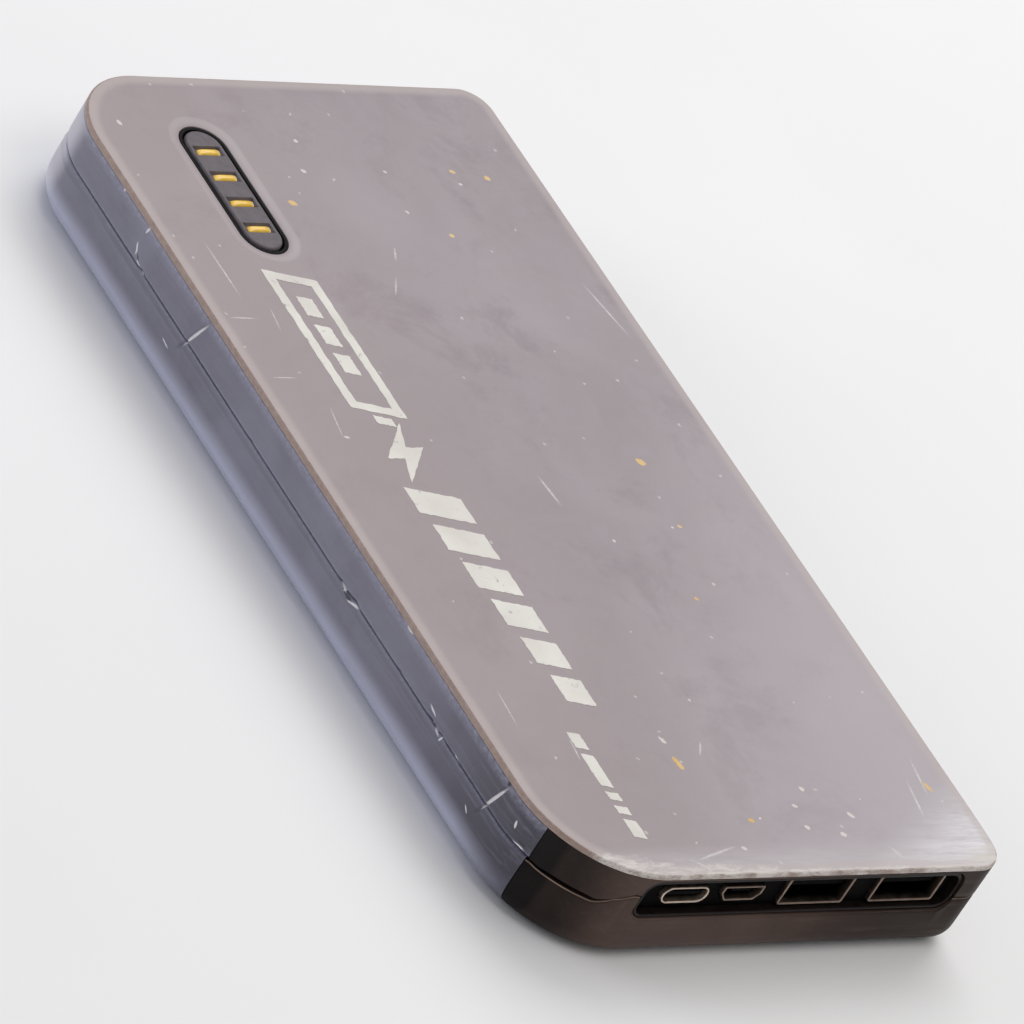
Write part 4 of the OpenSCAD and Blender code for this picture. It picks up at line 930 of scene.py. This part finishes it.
# nicks in the left side: X, Y, Z, radius and depth
SIDE_NICKS = [
    (LEFT, 60.3, 16.5, 0.7, 0.30), (LEFT, 51.7, 16.2, 0.6, 0.25), (LEFT, 51.8, 11.6, 0.8, 0.35),
    (LEFT, 48.6, 10.3, 0.9, 0.35), (LEFT, -18.0, 10.5, 0.9, 0.30), (LEFT, -21.8, 10.2, 0.9, 0.40),
    (LEFT, -46.0, 10.8, 0.8, 0.30), (LEFT, -49.3, 10.0, 0.7, 0.35), (LEFT, -72.0, 10.5, 0.9, 0.30),
    (LEFT, 12.0, 10.3, 0.5, 0.20), (LEFT, -32.0, 16.5, 0.7, 0.25), (LEFT, -36.0, 10.4, 0.5, 0.20),
]
SCORE_LEAN = [(32.5, 12.5, -0.40), (-64.0, 12.5, -0.34)]  # Y, Z and lean of the two cross scores
SCORE_DEPTH = 0.25
SCORE_HALF = 0.26  # half width of a score


def cut_scores(grid, inward):
    """Cuts the two leaning scores: a point near a score's line moves inwards by a bell of its distance."""
    y, z = grid[..., 1], grid[..., 2]
    on_left = (grid[..., 0] < LEFT + 1.5) & (z > 8.2)
    for y0, z0, lean in SCORE_LEAN:
        off = y - (y0 + lean * (z - z0))
        push = SCORE_DEPTH * np.exp(-((off / SCORE_HALF) ** 2)) * on_left
        grid[..., :2] += inward[:, None, :] * push[..., None]
    return grid


def long_marks(outline, from_cut):
    """Arc lengths along the body from the right-hand cut round the far end to the left-hand cut."""
    length, points, _ = outline
    spacing = bpy.context.scene.bank_sizes.spacing * MM
    beyond = points[:, 1] > from_cut
    first = length[np.argmax(beyond & (points[:, 0] > 0))]
    last = length[-1] + length[np.argmax(points[:, 1] < from_cut)]
    marks = np.arange(first, last, spacing)
    fine = np.concatenate([
        np.arange(-4.5, 4.5, 0.11) + length[-1] - (y - points[0, 1]) for y, _, _ in SCORE_LEAN
    ])
    return np.unique(np.concatenate([marks, fine[(fine > first) & (fine < last)], [last]]))


class BANK_OT_side_bands(bpy.types.Operator):
    """Upper band and tub: slate side walls with a rounded lower edge and the long seam between them"""

    bl_idname = "bank.side_bands"
    bl_label = "Side bands"

    def execute(self, context):
        """Each wall is a filleted profile carried round the outline between the end cap's two cuts."""
        outline = walk_outline()
        where, inward = stations(outline, long_marks(outline, UPPER_CUT + FIT))
        foot = SEAM + SEAM_GAP
        profile, _ = fillet([
            (0.0, foot, 0.30, 0), (0.0, PLATE_LOW - 0.02, 0.20, 0), (WALL, PLATE_LOW - 0.02, 0.05, 0),
            (WALL, foot + LIP, 0.05, 0), (COVER, foot + LIP, 0.05, 0), (COVER, foot, 0.05, 0),
        ])
        profile = self.split_outer(profile, foot, PLATE_LOW)
        band = carry(where, inward, profile[None, :, 0], profile[None, :, 1])
        band = cut_scores(dent(band, inward, SIDE_NICKS), inward)
        piece = Piece("upper_band")
        piece.grid(band, ends=True)
        piece.build("housing", "slate_frame", "upper_frame")

        # the tub runs on under the end cap as a bare floor
        marks = long_marks(outline, LOWER_CUT + FIT)
        length = outline[0][-1]
        rest = np.arange(marks[-1] - length, marks[0], 1.0)
        marks = np.concatenate([marks, rest + length])
        in_cap = np.arange(len(marks)) >= len(marks) - len(rest)
        walls, under_cap = marks[~in_cap], marks[in_cap][1:]
        marks = np.concatenate([walls, [walls[-1] + JUMP], under_cap, [marks[0] + length - JUMP]])
        in_cap = np.arange(len(marks)) >= len(walls)
        where, inward = stations(outline, marks)
        turn = np.linspace(0, np.pi / 2, 9)
        lip = SEAM + LIP
        step_foot, step_head = SEAM - 1.75, SEAM - 1.15
        rise = np.append(np.linspace(EDGE + 0.1, SEAM - 0.48, 14), np.linspace(step_foot, step_head, 5))
        rise = np.unique(rise)
        u = np.concatenate([
            EDGE * (1 - np.sin(turn)), STEP * ease_step(step_foot, step_head, rise),
            STEP + SEAM_ROUND * (1 - np.cos(turn[::2])),
            [STEP + 0.5, COVER + FIT, COVER + FIT, WALL, WALL, WALL + 1, WALL + 1, EDGE],
        ])
        z = np.concatenate([
            EDGE * (1 - np.cos(turn)), rise, SEAM - SEAM_ROUND + SEAM_ROUND * np.sin(turn[::2]),
            [SEAM, SEAM, lip, lip, FLOOR + 1.8, FLOOR + 1.8, FLOOR, FLOOR],
        ])
        u = np.where(in_cap[:, None], np.maximum(u, EDGE), u[None])
        z = np.where(in_cap[:, None], np.minimum(z, FLOOR), z[None])
        wall = carry(where, inward, u, z)
        wall = cut_scores(dent(wall, inward, [n for n in SIDE_NICKS if n[2] < 11]), inward)
        ring = wall[:, :1].copy()
        shrink = np.array([0.0, 0.5, 0.93])[None, :, None]
        floor = np.concatenate([ring[..., :2] * shrink, np.zeros((len(ring), 3, 1))], 2)
        ring = wall[:, -1:].copy()
        inside = np.concatenate([ring[..., :2] * shrink[:, ::-1], np.full((len(ring), 3, 1), FLOOR)], 2)
        piece = Piece("tub")
        piece.grid(np.concatenate([floor, wall, inside], 1), wrap_rows=True, wrap_columns=False)
        piece.build("housing", "slate_shell", "lower_shell")
        return {"FINISHED"}

    @staticmethod
    def split_outer(profile, low, high):
        """Adds heights along the outer face, so that dents and scores have points to move."""
        outer = profile[:, 0] < 1e-6
        top = np.where(outer, profile[:, 1], -1).argmax()
        bottom = np.where(outer, profile[:, 1], 99).argmin()
        more = np.stack([np.zeros(14), np.linspace(low + 0.4, high - 0.35, 14)], 1)
        if bottom < top:
            return np.concatenate([profile[:bottom + 1], more, profile[top:]])
        return np.concatenate([profile[:top + 1], more[::-1], profile[bottom:]])


def window_edge(x, side):
    """Height of the window's lower (side -1) or upper (side 1) edge at X, a quarter circle at each end."""
    r = WINDOW_CORNER
    from_end = np.clip(np.minimum(x - WINDOW_LOW[0], WINDOW_HIGH[0] - x), 0, r)
    rise = r - np.sqrt(np.maximum(r * r - (r - from_end) ** 2, 0))
    return WINDOW_LOW[2] + rise if side < 0 else WINDOW_HIGH[2] - rise


def seam_line(x):
    """Height of the end cap's seam at X: level, climbing in a straight ramp to the window's left end."""
    start = WINDOW_LOW[0] - 1 - SEAM_RAMP
    climb = np.clip((x - start) / SEAM_RAMP, 0, 1) * SEAM_CLIMB
    return END_SEAM + np.where(x > WINDOW_HIGH[0] - 1, RIGHT_RISE, climb)


class BANK_OT_end_cap(bpy.types.Operator):
    """End cap: two brown halves round the port window, with a seam that climbs to the window"""

    bl_idname = "bank.end_cap"
    bl_label = "End cap"

    def execute(self, context):
        """A filleted profile is carried round the port end, and its free edge follows the seam outside the
        window and the window's edge inside it."""
        outline = walk_outline()
        length, points, _ = outline

        def cap_marks(cut):
            first = length[np.argmax(points[:, 1] < cut)]
            ahead = (points[:, 0] > 0) & (points[:, 1] > cut)
            last = length[np.argmax(ahead)]
            before = length < last
            at = np.interp([WINDOW_LOW[0], WINDOW_HIGH[0]], points[before, 0], length[before])
            ends = [np.arange(at[0] - 0.6, at[0] + 3, 0.12), np.arange(at[1] - 3, at[1] + 0.6, 0.12)]
            jumps = [at - JUMP, at + JUMP]
            return np.unique(np.concatenate([np.arange(first, last, 0.6), *ends, *jumps, [last]]))

        # lower half
        where, inward = stations(outline, cap_marks(LOWER_CUT))
        x, y = where.T
        inside = (x > WINDOW_LOW[0]) & (x < WINDOW_HIGH[0]) & (y < 0)
        edge = np.where(inside, np.minimum(window_edge(x, -1), seam_line(x)), seam_line(x))
        turn = np.linspace(0, np.pi / 2, 9)
        profile, share = fillet([
            (0.0, END_SEAM, 0.18, 1), (COVER, END_SEAM, 0.04, 1), (COVER, END_SEAM + 0.25, 0.04, 1),
            (WALL, END_SEAM + 0.25, 0.04, 1), (WALL, FLOOR + 1.8, 0.04, 0), (WALL + 1, FLOOR + 1.8, 0.04, 0),
            (WALL + 1, FLOOR, 0.04, 0), (EDGE - 0.02, FLOOR, 0.04, 0),
        ])
        foot = np.stack([EDGE * (1 - np.sin(turn)), EDGE * (1 - np.cos(turn))], 1)
        foot[0, 0] = EDGE - 0.02
        profile = np.concatenate([foot, [[0, EDGE + 0.1], [0, END_SEAM - 0.6]], profile])
        share = np.concatenate([np.zeros(len(foot) + 1), [1.0], share])
        z = profile[None, :, 1] + share[None] * (edge - END_SEAM)[:, None]
        piece = Piece("lower_end_cap")
        grid = carry(where, inward, profile[None, :, 0], z)
        grid = dent(grid, inward, [(-40.9, -74.6, 9.9, 0.7, 0.3), (-31.0, -83.7, 11.0, 0.6, 0.2)])
        # the lip's painted highlight goes on the lower half's upper outer edge, outside the window
        at_lip = (profile[:, 0] < 0.2) & (profile[:, 1] > END_SEAM - 0.3)
        piece.grid(grid, ends=True, lip=at_lip[None] * (~inside)[:, None] * 1.0)
        piece.build("housing", "brown_cap", "lower_end_cap", sharp=35)

        # upper half
        where, inward = stations(outline, cap_marks(UPPER_CUT))
        x, y = where.T
        inside = (x > WINDOW_LOW[0]) & (x < WINDOW_HIGH[0]) & (y < 0)
        # the two halves gape round the left corner
        gape = GAPE * ease_step(-41.0, -38.5, x) * ease_step(-31.5, -35.5, x) * (y < 0)
        seam = seam_line(x) + SEAM_GAP + gape
        edge = np.where(inside, np.maximum(window_edge(x, 1), seam), seam)
        profile, share = fillet([
            (0.0, END_SEAM, 0.08, 1), (0.0, PLATE_LOW - 0.02, 0.05, 0), (WALL, PLATE_LOW - 0.02, 0.03, 0),
            (WALL, END_SEAM, 0.03, 1),
        ], ease=0.02)
        z = profile[None, :, 1] + share[None] * (edge - END_SEAM)[:, None]
        piece = Piece("upper_end_cap")
        grid = carry(where, inward, profile[None, :, 0], z)
        grid = dent(grid, inward, [(-40.8, -74.4, 10.4, 0.9, 0.35)])
        piece.grid(grid, ends=True)
        piece.build("housing", "brown_cap", "upper_end_cap", sharp=35)
        return {"FINISHED"}


class BANK_OT_port_window(bpy.types.Operator):
    """Bezel ring in the port window, with its deeper ledge along the top"""

    bl_idname = "bank.port_window"
    bl_label = "Port window"

    def execute(self, context):
        """A ring between the bezel's outer loop and the opening's loop, with rounded front edges."""
        count = 480
        width, _, height = BEZEL[1] - BEZEL[0]
        middle = (BEZEL[0] + BEZEL[1])[[0, 2]] / 2
        outer = loop_rectangle(width, height, WINDOW_CORNER - FIT, count)
        rim, ledge = 0.5, 0.9
        inner = loop_rectangle(width - 2 * rim, height - rim - ledge, WINDOW_CORNER - FIT - rim, count)
        inner[:, 1] += (rim - ledge) / 2
        front, back = BEZEL[0][1], BEZEL[1][1]
        turn = np.linspace(0, np.pi / 2, 5)
        soft = 0.22
        profile = [(0.0, back), (0.0, front + soft)]
        profile += [(0.28 * (1 - np.cos(t)), front + soft * (1 - np.sin(t))) for t in turn]
        profile += [(0.5, front)]
        profile += [(1 - 0.28 * (1 - np.sin(t)), front + soft * (1 - np.cos(t))) for t in turn]
        profile += [(1.0, front + soft + 0.1), (1.0, back)]
        piece = Piece("port_bezel_ring")
        piece.grid(front_tube(outer, inner, profile, middle), wrap_rows=True)
        piece.build("housing", "brown_bezel", "port_bezel")
        return {"FINISHED"}


class BANK_OT_sockets(bpy.types.Operator):
    """Rolled metal mouths of the four sockets"""

    bl_idname = "bank.sockets"
    bl_label = "Sockets"

    def execute(self, context):
        """Each shell is a tube between an outer and an inner loop, with a rounded lip at its mouth and a
        closed back."""
        # slot, corner radius, chamfer of the lower corners and thickness of the sheet
        shapes = {
            "usb_c_shell": ("bright_shell", 0.5, 0.0, 0.36),
            "micro_usb_shell": ("port_shell", 0.3, 1.1, 0.36),
            "usb_a_first_shell": ("port_shell", 0.45, 0.0, 0.42),
            "usb_a_second_shell": ("port_shell", 0.45, 0.0, 0.42),
        }
        for node, (slot, radius, chamfer, sheet) in shapes.items():
            low, high = span(node)
            width, _, height = high - low
            middle = (low + high)[[0, 2]] / 2
            count = 160
            if chamfer:
                w, h, c = width / 2, height / 2, 1.4
                corners = np.array([
                    [w, h], [-w, h], [-w, -h + c], [-w + chamfer, -h], [w - chamfer, -h], [w, -h + c],
                ])
                rounded, _ = fillet([(*p, 0.25, 0) for p in corners], 6, 0.02)
                outer = even_loop(rounded, count)
                inner = outer * (1 - sheet / np.array([w, h]))
            else:
                bend = height / 2 if node == "usb_c_shell" else radius
                outer = loop_rectangle(width, height, bend, count)
                inner = loop_rectangle(width - 2 * sheet, height - 2 * sheet, max(bend - sheet, 0.1), count)
            mouth, back = low[1], high[1]
            turn = np.linspace(0, np.pi, 9)
            lip = [(0.5 - 0.5 * np.cos(t), mouth + sheet / 2 * (1 - np.sin(t))) for t in turn]
            profile = [(0.0, back), (0.0, mouth + sheet), *lip, (1.0, mouth + sheet), (1.0, back)]
            piece = Piece(node + "_tube")
            piece.grid(front_tube(outer, inner, profile, middle), wrap_rows=True)
            piece.build("housing", slot, node, sharp=50)
        return {"FINISHED"}


class BANK_OT_button(bpy.types.Operator):
    """Push button with its four charge lights, and the black ring round it"""

    bl_idname = "bank.button"
    bl_label = "Button"

    def execute(self, context):
        """The cap is a section carried along the pill: flat on top with rounded edges and four pockets, and
        narrowing to a point at both ends. Lights are pillows in the pockets, and the ring is a rounded
        profile between two pill loops."""
        radius = CAP_HALF[0]
        half_run = CAP_HALF[1] - radius
        top = CAP[1][2]
        rows = np.unique(np.concatenate([
            np.linspace(-half_run, half_run, 196),
            half_run + radius * np.sin(np.linspace(0, np.pi / 2, 26)),
            -half_run - radius * np.sin(np.linspace(0, np.pi / 2, 26)),
        ]))
        beyond = np.maximum(np.abs(rows) - half_run, 0)
        half_width = np.sqrt(np.maximum(radius**2 - beyond**2, 0))
        across = np.sin(np.linspace(-np.pi / 2, np.pi / 2, 81)) * 0.5 + 0.5 * np.linspace(-1, 1, 81)
        x = half_width[:, None] * across[None]
        y = np.broadcast_to(rows[:, None], x.shape)
        depth_in = radius - np.hypot(x, np.maximum(np.abs(y) - half_run, 0))
        soft = 0.45
        edge_drop = soft - np.sqrt(np.maximum(soft**2 - np.clip(soft - depth_in, 0, soft) ** 2, 0))
        pocket = np.zeros_like(x)
        for k in LIGHT_ROWS:
            px = np.abs(x + 0.1) - POCKET_HALF[0]
            py = np.abs(y - k * LIGHT_PITCH) - POCKET_HALF[1]
            outside = np.hypot(np.maximum(px, 0), np.maximum(py, 0)) + np.minimum(np.maximum(px, py), 0)
            pocket = np.maximum(pocket, ease_step(0.12, -0.12, outside))
        z = top - edge_drop - POCKET_DEPTH * pocket
        above = np.stack([x, y, z], 2)
        below = np.stack([x[:, ::-1], y, np.full_like(x, top - 1.4)], 2)
        body = np.concatenate([above, below], 1)
        body[..., :2] += BUTTON
        cap = Piece("button_cap_top")
        cap.grid(body)
        cap.build("button", "button_grey", "button_cap", sharp=60)

        lights = Piece("light_windows")
        turn = np.linspace(0, 2 * np.pi, 64, endpoint=False)
        for k in LIGHT_ROWS:
            square = 0.42  # power that squares the pillow's plan: 1 is an ellipse
            cx = np.sign(np.cos(turn)) * np.abs(np.cos(turn)) ** square
            cy = np.sign(np.sin(turn)) * np.abs(np.sin(turn)) ** square
            lean = 0.16  # how far the pillow's sides lean
            share = np.sin(np.linspace(0, np.pi / 2, 10))
            plan_x, plan_y = LIGHT_HALF[0] * cx + lean * cy, LIGHT_HALF[1] * cy
            dome = np.stack([
                plan_x[:, None] * share, plan_y[:, None] * share,
                np.broadcast_to(top - 0.42 + 0.40 * (1 - share**3.2), (64, 10)),
            ], 2)
            skirt = np.stack([plan_x, plan_y, np.full(64, top - 1.3)], 1)[:, None]
            pole = np.broadcast_to(np.array([0.0, 0.0, top - 1.3]), (64, 1, 3))
            grid = np.concatenate([dome, skirt, pole], 1)
            grid = grid + np.array([BUTTON[0] + 0.15, BUTTON[1] + k * LIGHT_PITCH, 0])
            lights.grid(grid, wrap_rows=True, wrap_columns=False)
        lights.build("button", "amber_window", "light_bars", sharp=60)

        bearing = np.linspace(0, 2 * np.pi, 720, endpoint=False)
        ray = np.stack([np.cos(bearing), np.sin(bearing)], 1)
        inner, width = radius + BUTTON_GAP, RING_WIDTH - 0.05
        head = RING[1][2]
        profile = np.array([
            (width, PLATE_LOW), (width, head - 0.25), (width * 0.88, head - 0.08), (width * 0.62, head),
            (width * 0.38, head), (width * 0.12, head - 0.08), (0.0, head - 0.25), (0.0, RING[0][2]),
            (RING_WIDTH + 1.4, RING[0][2]), (RING_WIDTH + 1.4, PLATE_LOW),
        ])
        reach = np.stack([pill_reach(bearing, inner + p, half_run) for p in profile[:, 0]], 1)
        flat = BUTTON + ray[:, None] * reach[..., None]
        height = np.broadcast_to(profile[None, :, 1:], flat.shape[:2] + (1,))
        ring = Piece("button_ring")
        ring.grid(np.concatenate([flat, height], 2), wrap_rows=True)
        ring.build("housing", "black_rubber", "button_gasket")
        return {"FINISHED"}


class BANK_OT_face_print(bpy.types.Operator):
    """Printed marks along the face plate: battery sign, bolt, leaning stripes and small dashes"""

    bl_idname = "bank.face_print"
    bl_label = "Printed marks"

    def execute(self, context):
        """Each mark is a thin closed film whose outline is shaken by a fraction of a millimetre."""
        rng = np.random.default_rng(RNG_SEED)
        left, head = MARKS[0][0], MARKS[1][1]
        width, slant = MARKS[1][0] - left, 2.4
        film = MARKS[1][2]
        piece = Piece("printed_marks")

        def leaning(start, length, x0, x1):
            lean = slant / width
            return np.array([
                [left + x0, start - lean * x0], [left + x1, start - lean * x1],
                [left + x1, start - lean * x1 - length], [left + x0, start - lean * x0 - length],
            ])

        def shaken(corners, count=140, size=0.09):
            loop = even_loop(corners, count)
            noise = rng.normal(0, 1, (count, 2))
            for _ in range(2):
                noise = (noise + np.roll(noise, 1, 0) + np.roll(noise, -1, 0)) / 3
            return loop + size * noise

        def film_of(loops):
            """Loops from outside to inside on top, then the same below: a closed thin ring or plate."""
            flat = np.stack([*loops, *loops[::-1]], 1)
            z = np.array([film] * len(loops) + [TOP - 0.05] * len(loops))
            return np.concatenate([flat, np.broadcast_to(z[None, :, None], flat.shape[:2] + (1,))], 2)

        def plate_of(corners, count=140):
            loop = shaken(corners, count)
            core = loop.mean(0)
            pole = np.broadcast_to(core, loop.shape)
            flat = np.stack([pole, (loop + core) / 2, loop, loop, (loop + core) / 2, pole], 1)
            z = np.array([film] * 3 + [TOP - 0.05] * 3)
            grid = np.concatenate([flat, np.broadcast_to(z[None, :, None], flat.shape[:2] + (1,))], 2)
            piece.grid(grid, wrap_rows=True, wrap_columns=False)

        line, case = 1.7, 30.0
        ring = film_of([shaken(leaning(head, case, 0, width), 240),
                        shaken(leaning(head - line, case - 2 * line, line, width - line), 240)])
        piece.grid(ring, wrap_rows=True)
        plate_of(leaning(head - case - line / 2, line, width / 3, width * 2 / 3))
        for d in (5, 11.2, 17.4):
            plate_of(leaning(head - d, 4.2, 2 * line, width - 2 * line))
        middle = head - case - 17 / 2 - slant / 2
        bolt = np.array([[2.6, 6.4], [-4.2, -1.2], [-0.8, -1.2], [-2.6, -6.4], [4.2, 1.2], [0.8, 1.2]])
        plate_of(bolt + np.array([left + width / 2, middle]))
        stripe_start, foot_start = head - case - 17, NEAR + 29
        stripes = int((stripe_start - foot_start - slant - 1.6) // 7.6)
        for i in range(stripes):
            plate_of(leaning(stripe_start - i * 7.6, 5.4, i * 0.9, width))
        for offset, length in ((0, 3.2), (4.4, 6.4), (12, 1.6), (14.8, 1.6), (17.6, 3.6)):
            plate_of(leaning(foot_start - offset, length, 0.4, 2.6), 70)
        piece.build("housing", "face_print", "face_marks", sharp=30)
        return {"FINISHED"}


class BANK_OT_inner_finishes(bpy.types.Operator):
    """Gives every solid that is kept as it is its own finish"""

    bl_idname = "bank.inner_finishes"
    bl_label = "Inner finishes"

    def execute(self, context):
        """Each row of the record names a solid and its slot, and each slot has a finish."""
        made = finishes()
        for row in frame["record"]["subparts"]:
            solid = frame["nodes"][row["node"]]
            solid.data.materials.clear()
            solid.data.materials.append(made[row["material_slot"]])
        return {"FINISHED"}


class BANK_OT_stage(bpy.types.Operator):
    """Floor, soft lights and camera"""

    bl_idname = "bank.stage"
    bl_label = "Stage"

    def execute(self, context):
        """The floor is one large square, and the lamps and camera are turned to face the body."""
        scene = context.scene
        # plain pale floor
        floor = bpy.data.meshes.new("floor")
        half, below = 4.0, 2e-5  # metres
        corners = [(x * half, y * half, -below) for x, y in ((-1, -1), (1, -1), (1, 1), (-1, 1))]
        floor.from_pydata(corners, [], [(0, 1, 2, 3)])
        ground = bpy.data.objects.new("floor", floor)
        scene.collection.objects.link(ground)
        floor.materials.append(floor_paper())
        # soft studio light: wide lamps behind, above and at the left, all aimed at the body, and a pale room
        world = bpy.data.worlds.new("pale room")
        world.use_nodes = True
        world.node_tree.nodes["Background"].inputs[0].default_value = linear("#F4F5F8")
        world.node_tree.nodes["Background"].inputs[1].default_value = 0.30
        scene.world = world
        for name, spot, wide, power, colour in (
            ("back lamp", (0.6, 0.7, 1.1), 1.1, 9.5, "#FFFFFF"),
            ("top lamp", (0.3, -0.4, 1.4), 1.2, 7.5, "#FFFBF8"),
            ("left lamp", (-1.3, 0.9, 0.45), 0.8, 6.5, "#EEF1FF"),
        ):
            lamp = bpy.data.lights.new(name, "AREA")
            lamp.size, lamp.energy, lamp.color = wide, power, linear(colour)[:3]
            holder = bpy.data.objects.new(name, lamp)
            scene.collection.objects.link(holder)
            spot = np.array(spot)
            holder.matrix_world = self.looking(spot, -spot)
        # camera: 340 mm lens from the front left, turned about its own axis
        camera = bpy.data.cameras.new("camera")
        camera.lens, camera.sensor_width, camera.clip_end = 340.1, 36.0, 20.0
        holder = bpy.data.objects.new("camera", camera)
        scene.collection.objects.link(holder)
        aim = np.array([0.0016, -0.0014, 0.0089])
        forward = np.array([0.65436, 0.53963, -0.52973])
        level = self.looking(aim - forward * context.scene.bank_sizes.camera_distance, forward)
        holder.matrix_world = level @ Matrix.Rotation(np.radians(32.855), 4, "Z")
        scene.camera = holder
        scene.view_settings.view_transform = "Standard"
        return {"FINISHED"}

    @staticmethod
    def looking(spot, forward):
        """Matrix of something at spot that looks along forward, upright."""
        back = -forward / np.linalg.norm(forward)
        right = np.cross((0, 0, 1), back)
        right /= np.linalg.norm(right)
        over = np.cross(back, right)
        turned = Matrix(np.stack([right, over, back], 1).tolist()).to_4x4()
        turned.translation = spot.tolist()
        return turned


class BANK_PT_panel(bpy.types.Panel):
    """Sidebar panel that lists the steps and the sizes"""

    bl_idname = "BANK_PT_panel"
    bl_label = "Power bank"
    bl_space_type = "VIEW_3D"
    bl_region_type = "UI"
    bl_category = "Power bank"

    def draw(self, context):
        for group in (context.scene.bank_sizes, context.scene.bank_colours):
            for key in group.bl_rna.properties.keys():
                if key not in ("rna_type", "name"):
                    self.layout.prop(group, key)
        for step in STEPS:
            self.layout.operator(step.bl_idname)


STEPS = (
    BANK_OT_stage,
    BANK_OT_inner_finishes,
    BANK_OT_face_plate,
    BANK_OT_side_bands,
    BANK_OT_end_cap,
    BANK_OT_port_window,
    BANK_OT_sockets,
    BANK_OT_button,
    BANK_OT_face_print,
)
CLASSES = (BankSizes, BankColours, *STEPS, BANK_PT_panel)


def register():
    """Registers the classes and hangs the sizes and colours on the scene."""
    for cls in CLASSES:
        bpy.utils.register_class(cls)
    bpy.types.Scene.bank_sizes = PointerProperty(type=BankSizes)
    bpy.types.Scene.bank_colours = PointerProperty(type=BankColours)


def unregister():
    """Takes the classes, sizes and colours off again."""
    del bpy.types.Scene.bank_colours
    del bpy.types.Scene.bank_sizes
    for cls in reversed(CLASSES):
        bpy.utils.unregister_class(cls)


def main():
    """Builds the power bank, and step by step."""
    register()
    for step in STEPS:
        group, name = step.bl_idname.split(".")
        getattr(getattr(bpy.ops, group), name)()


if __name__ == "__main__":
    main()
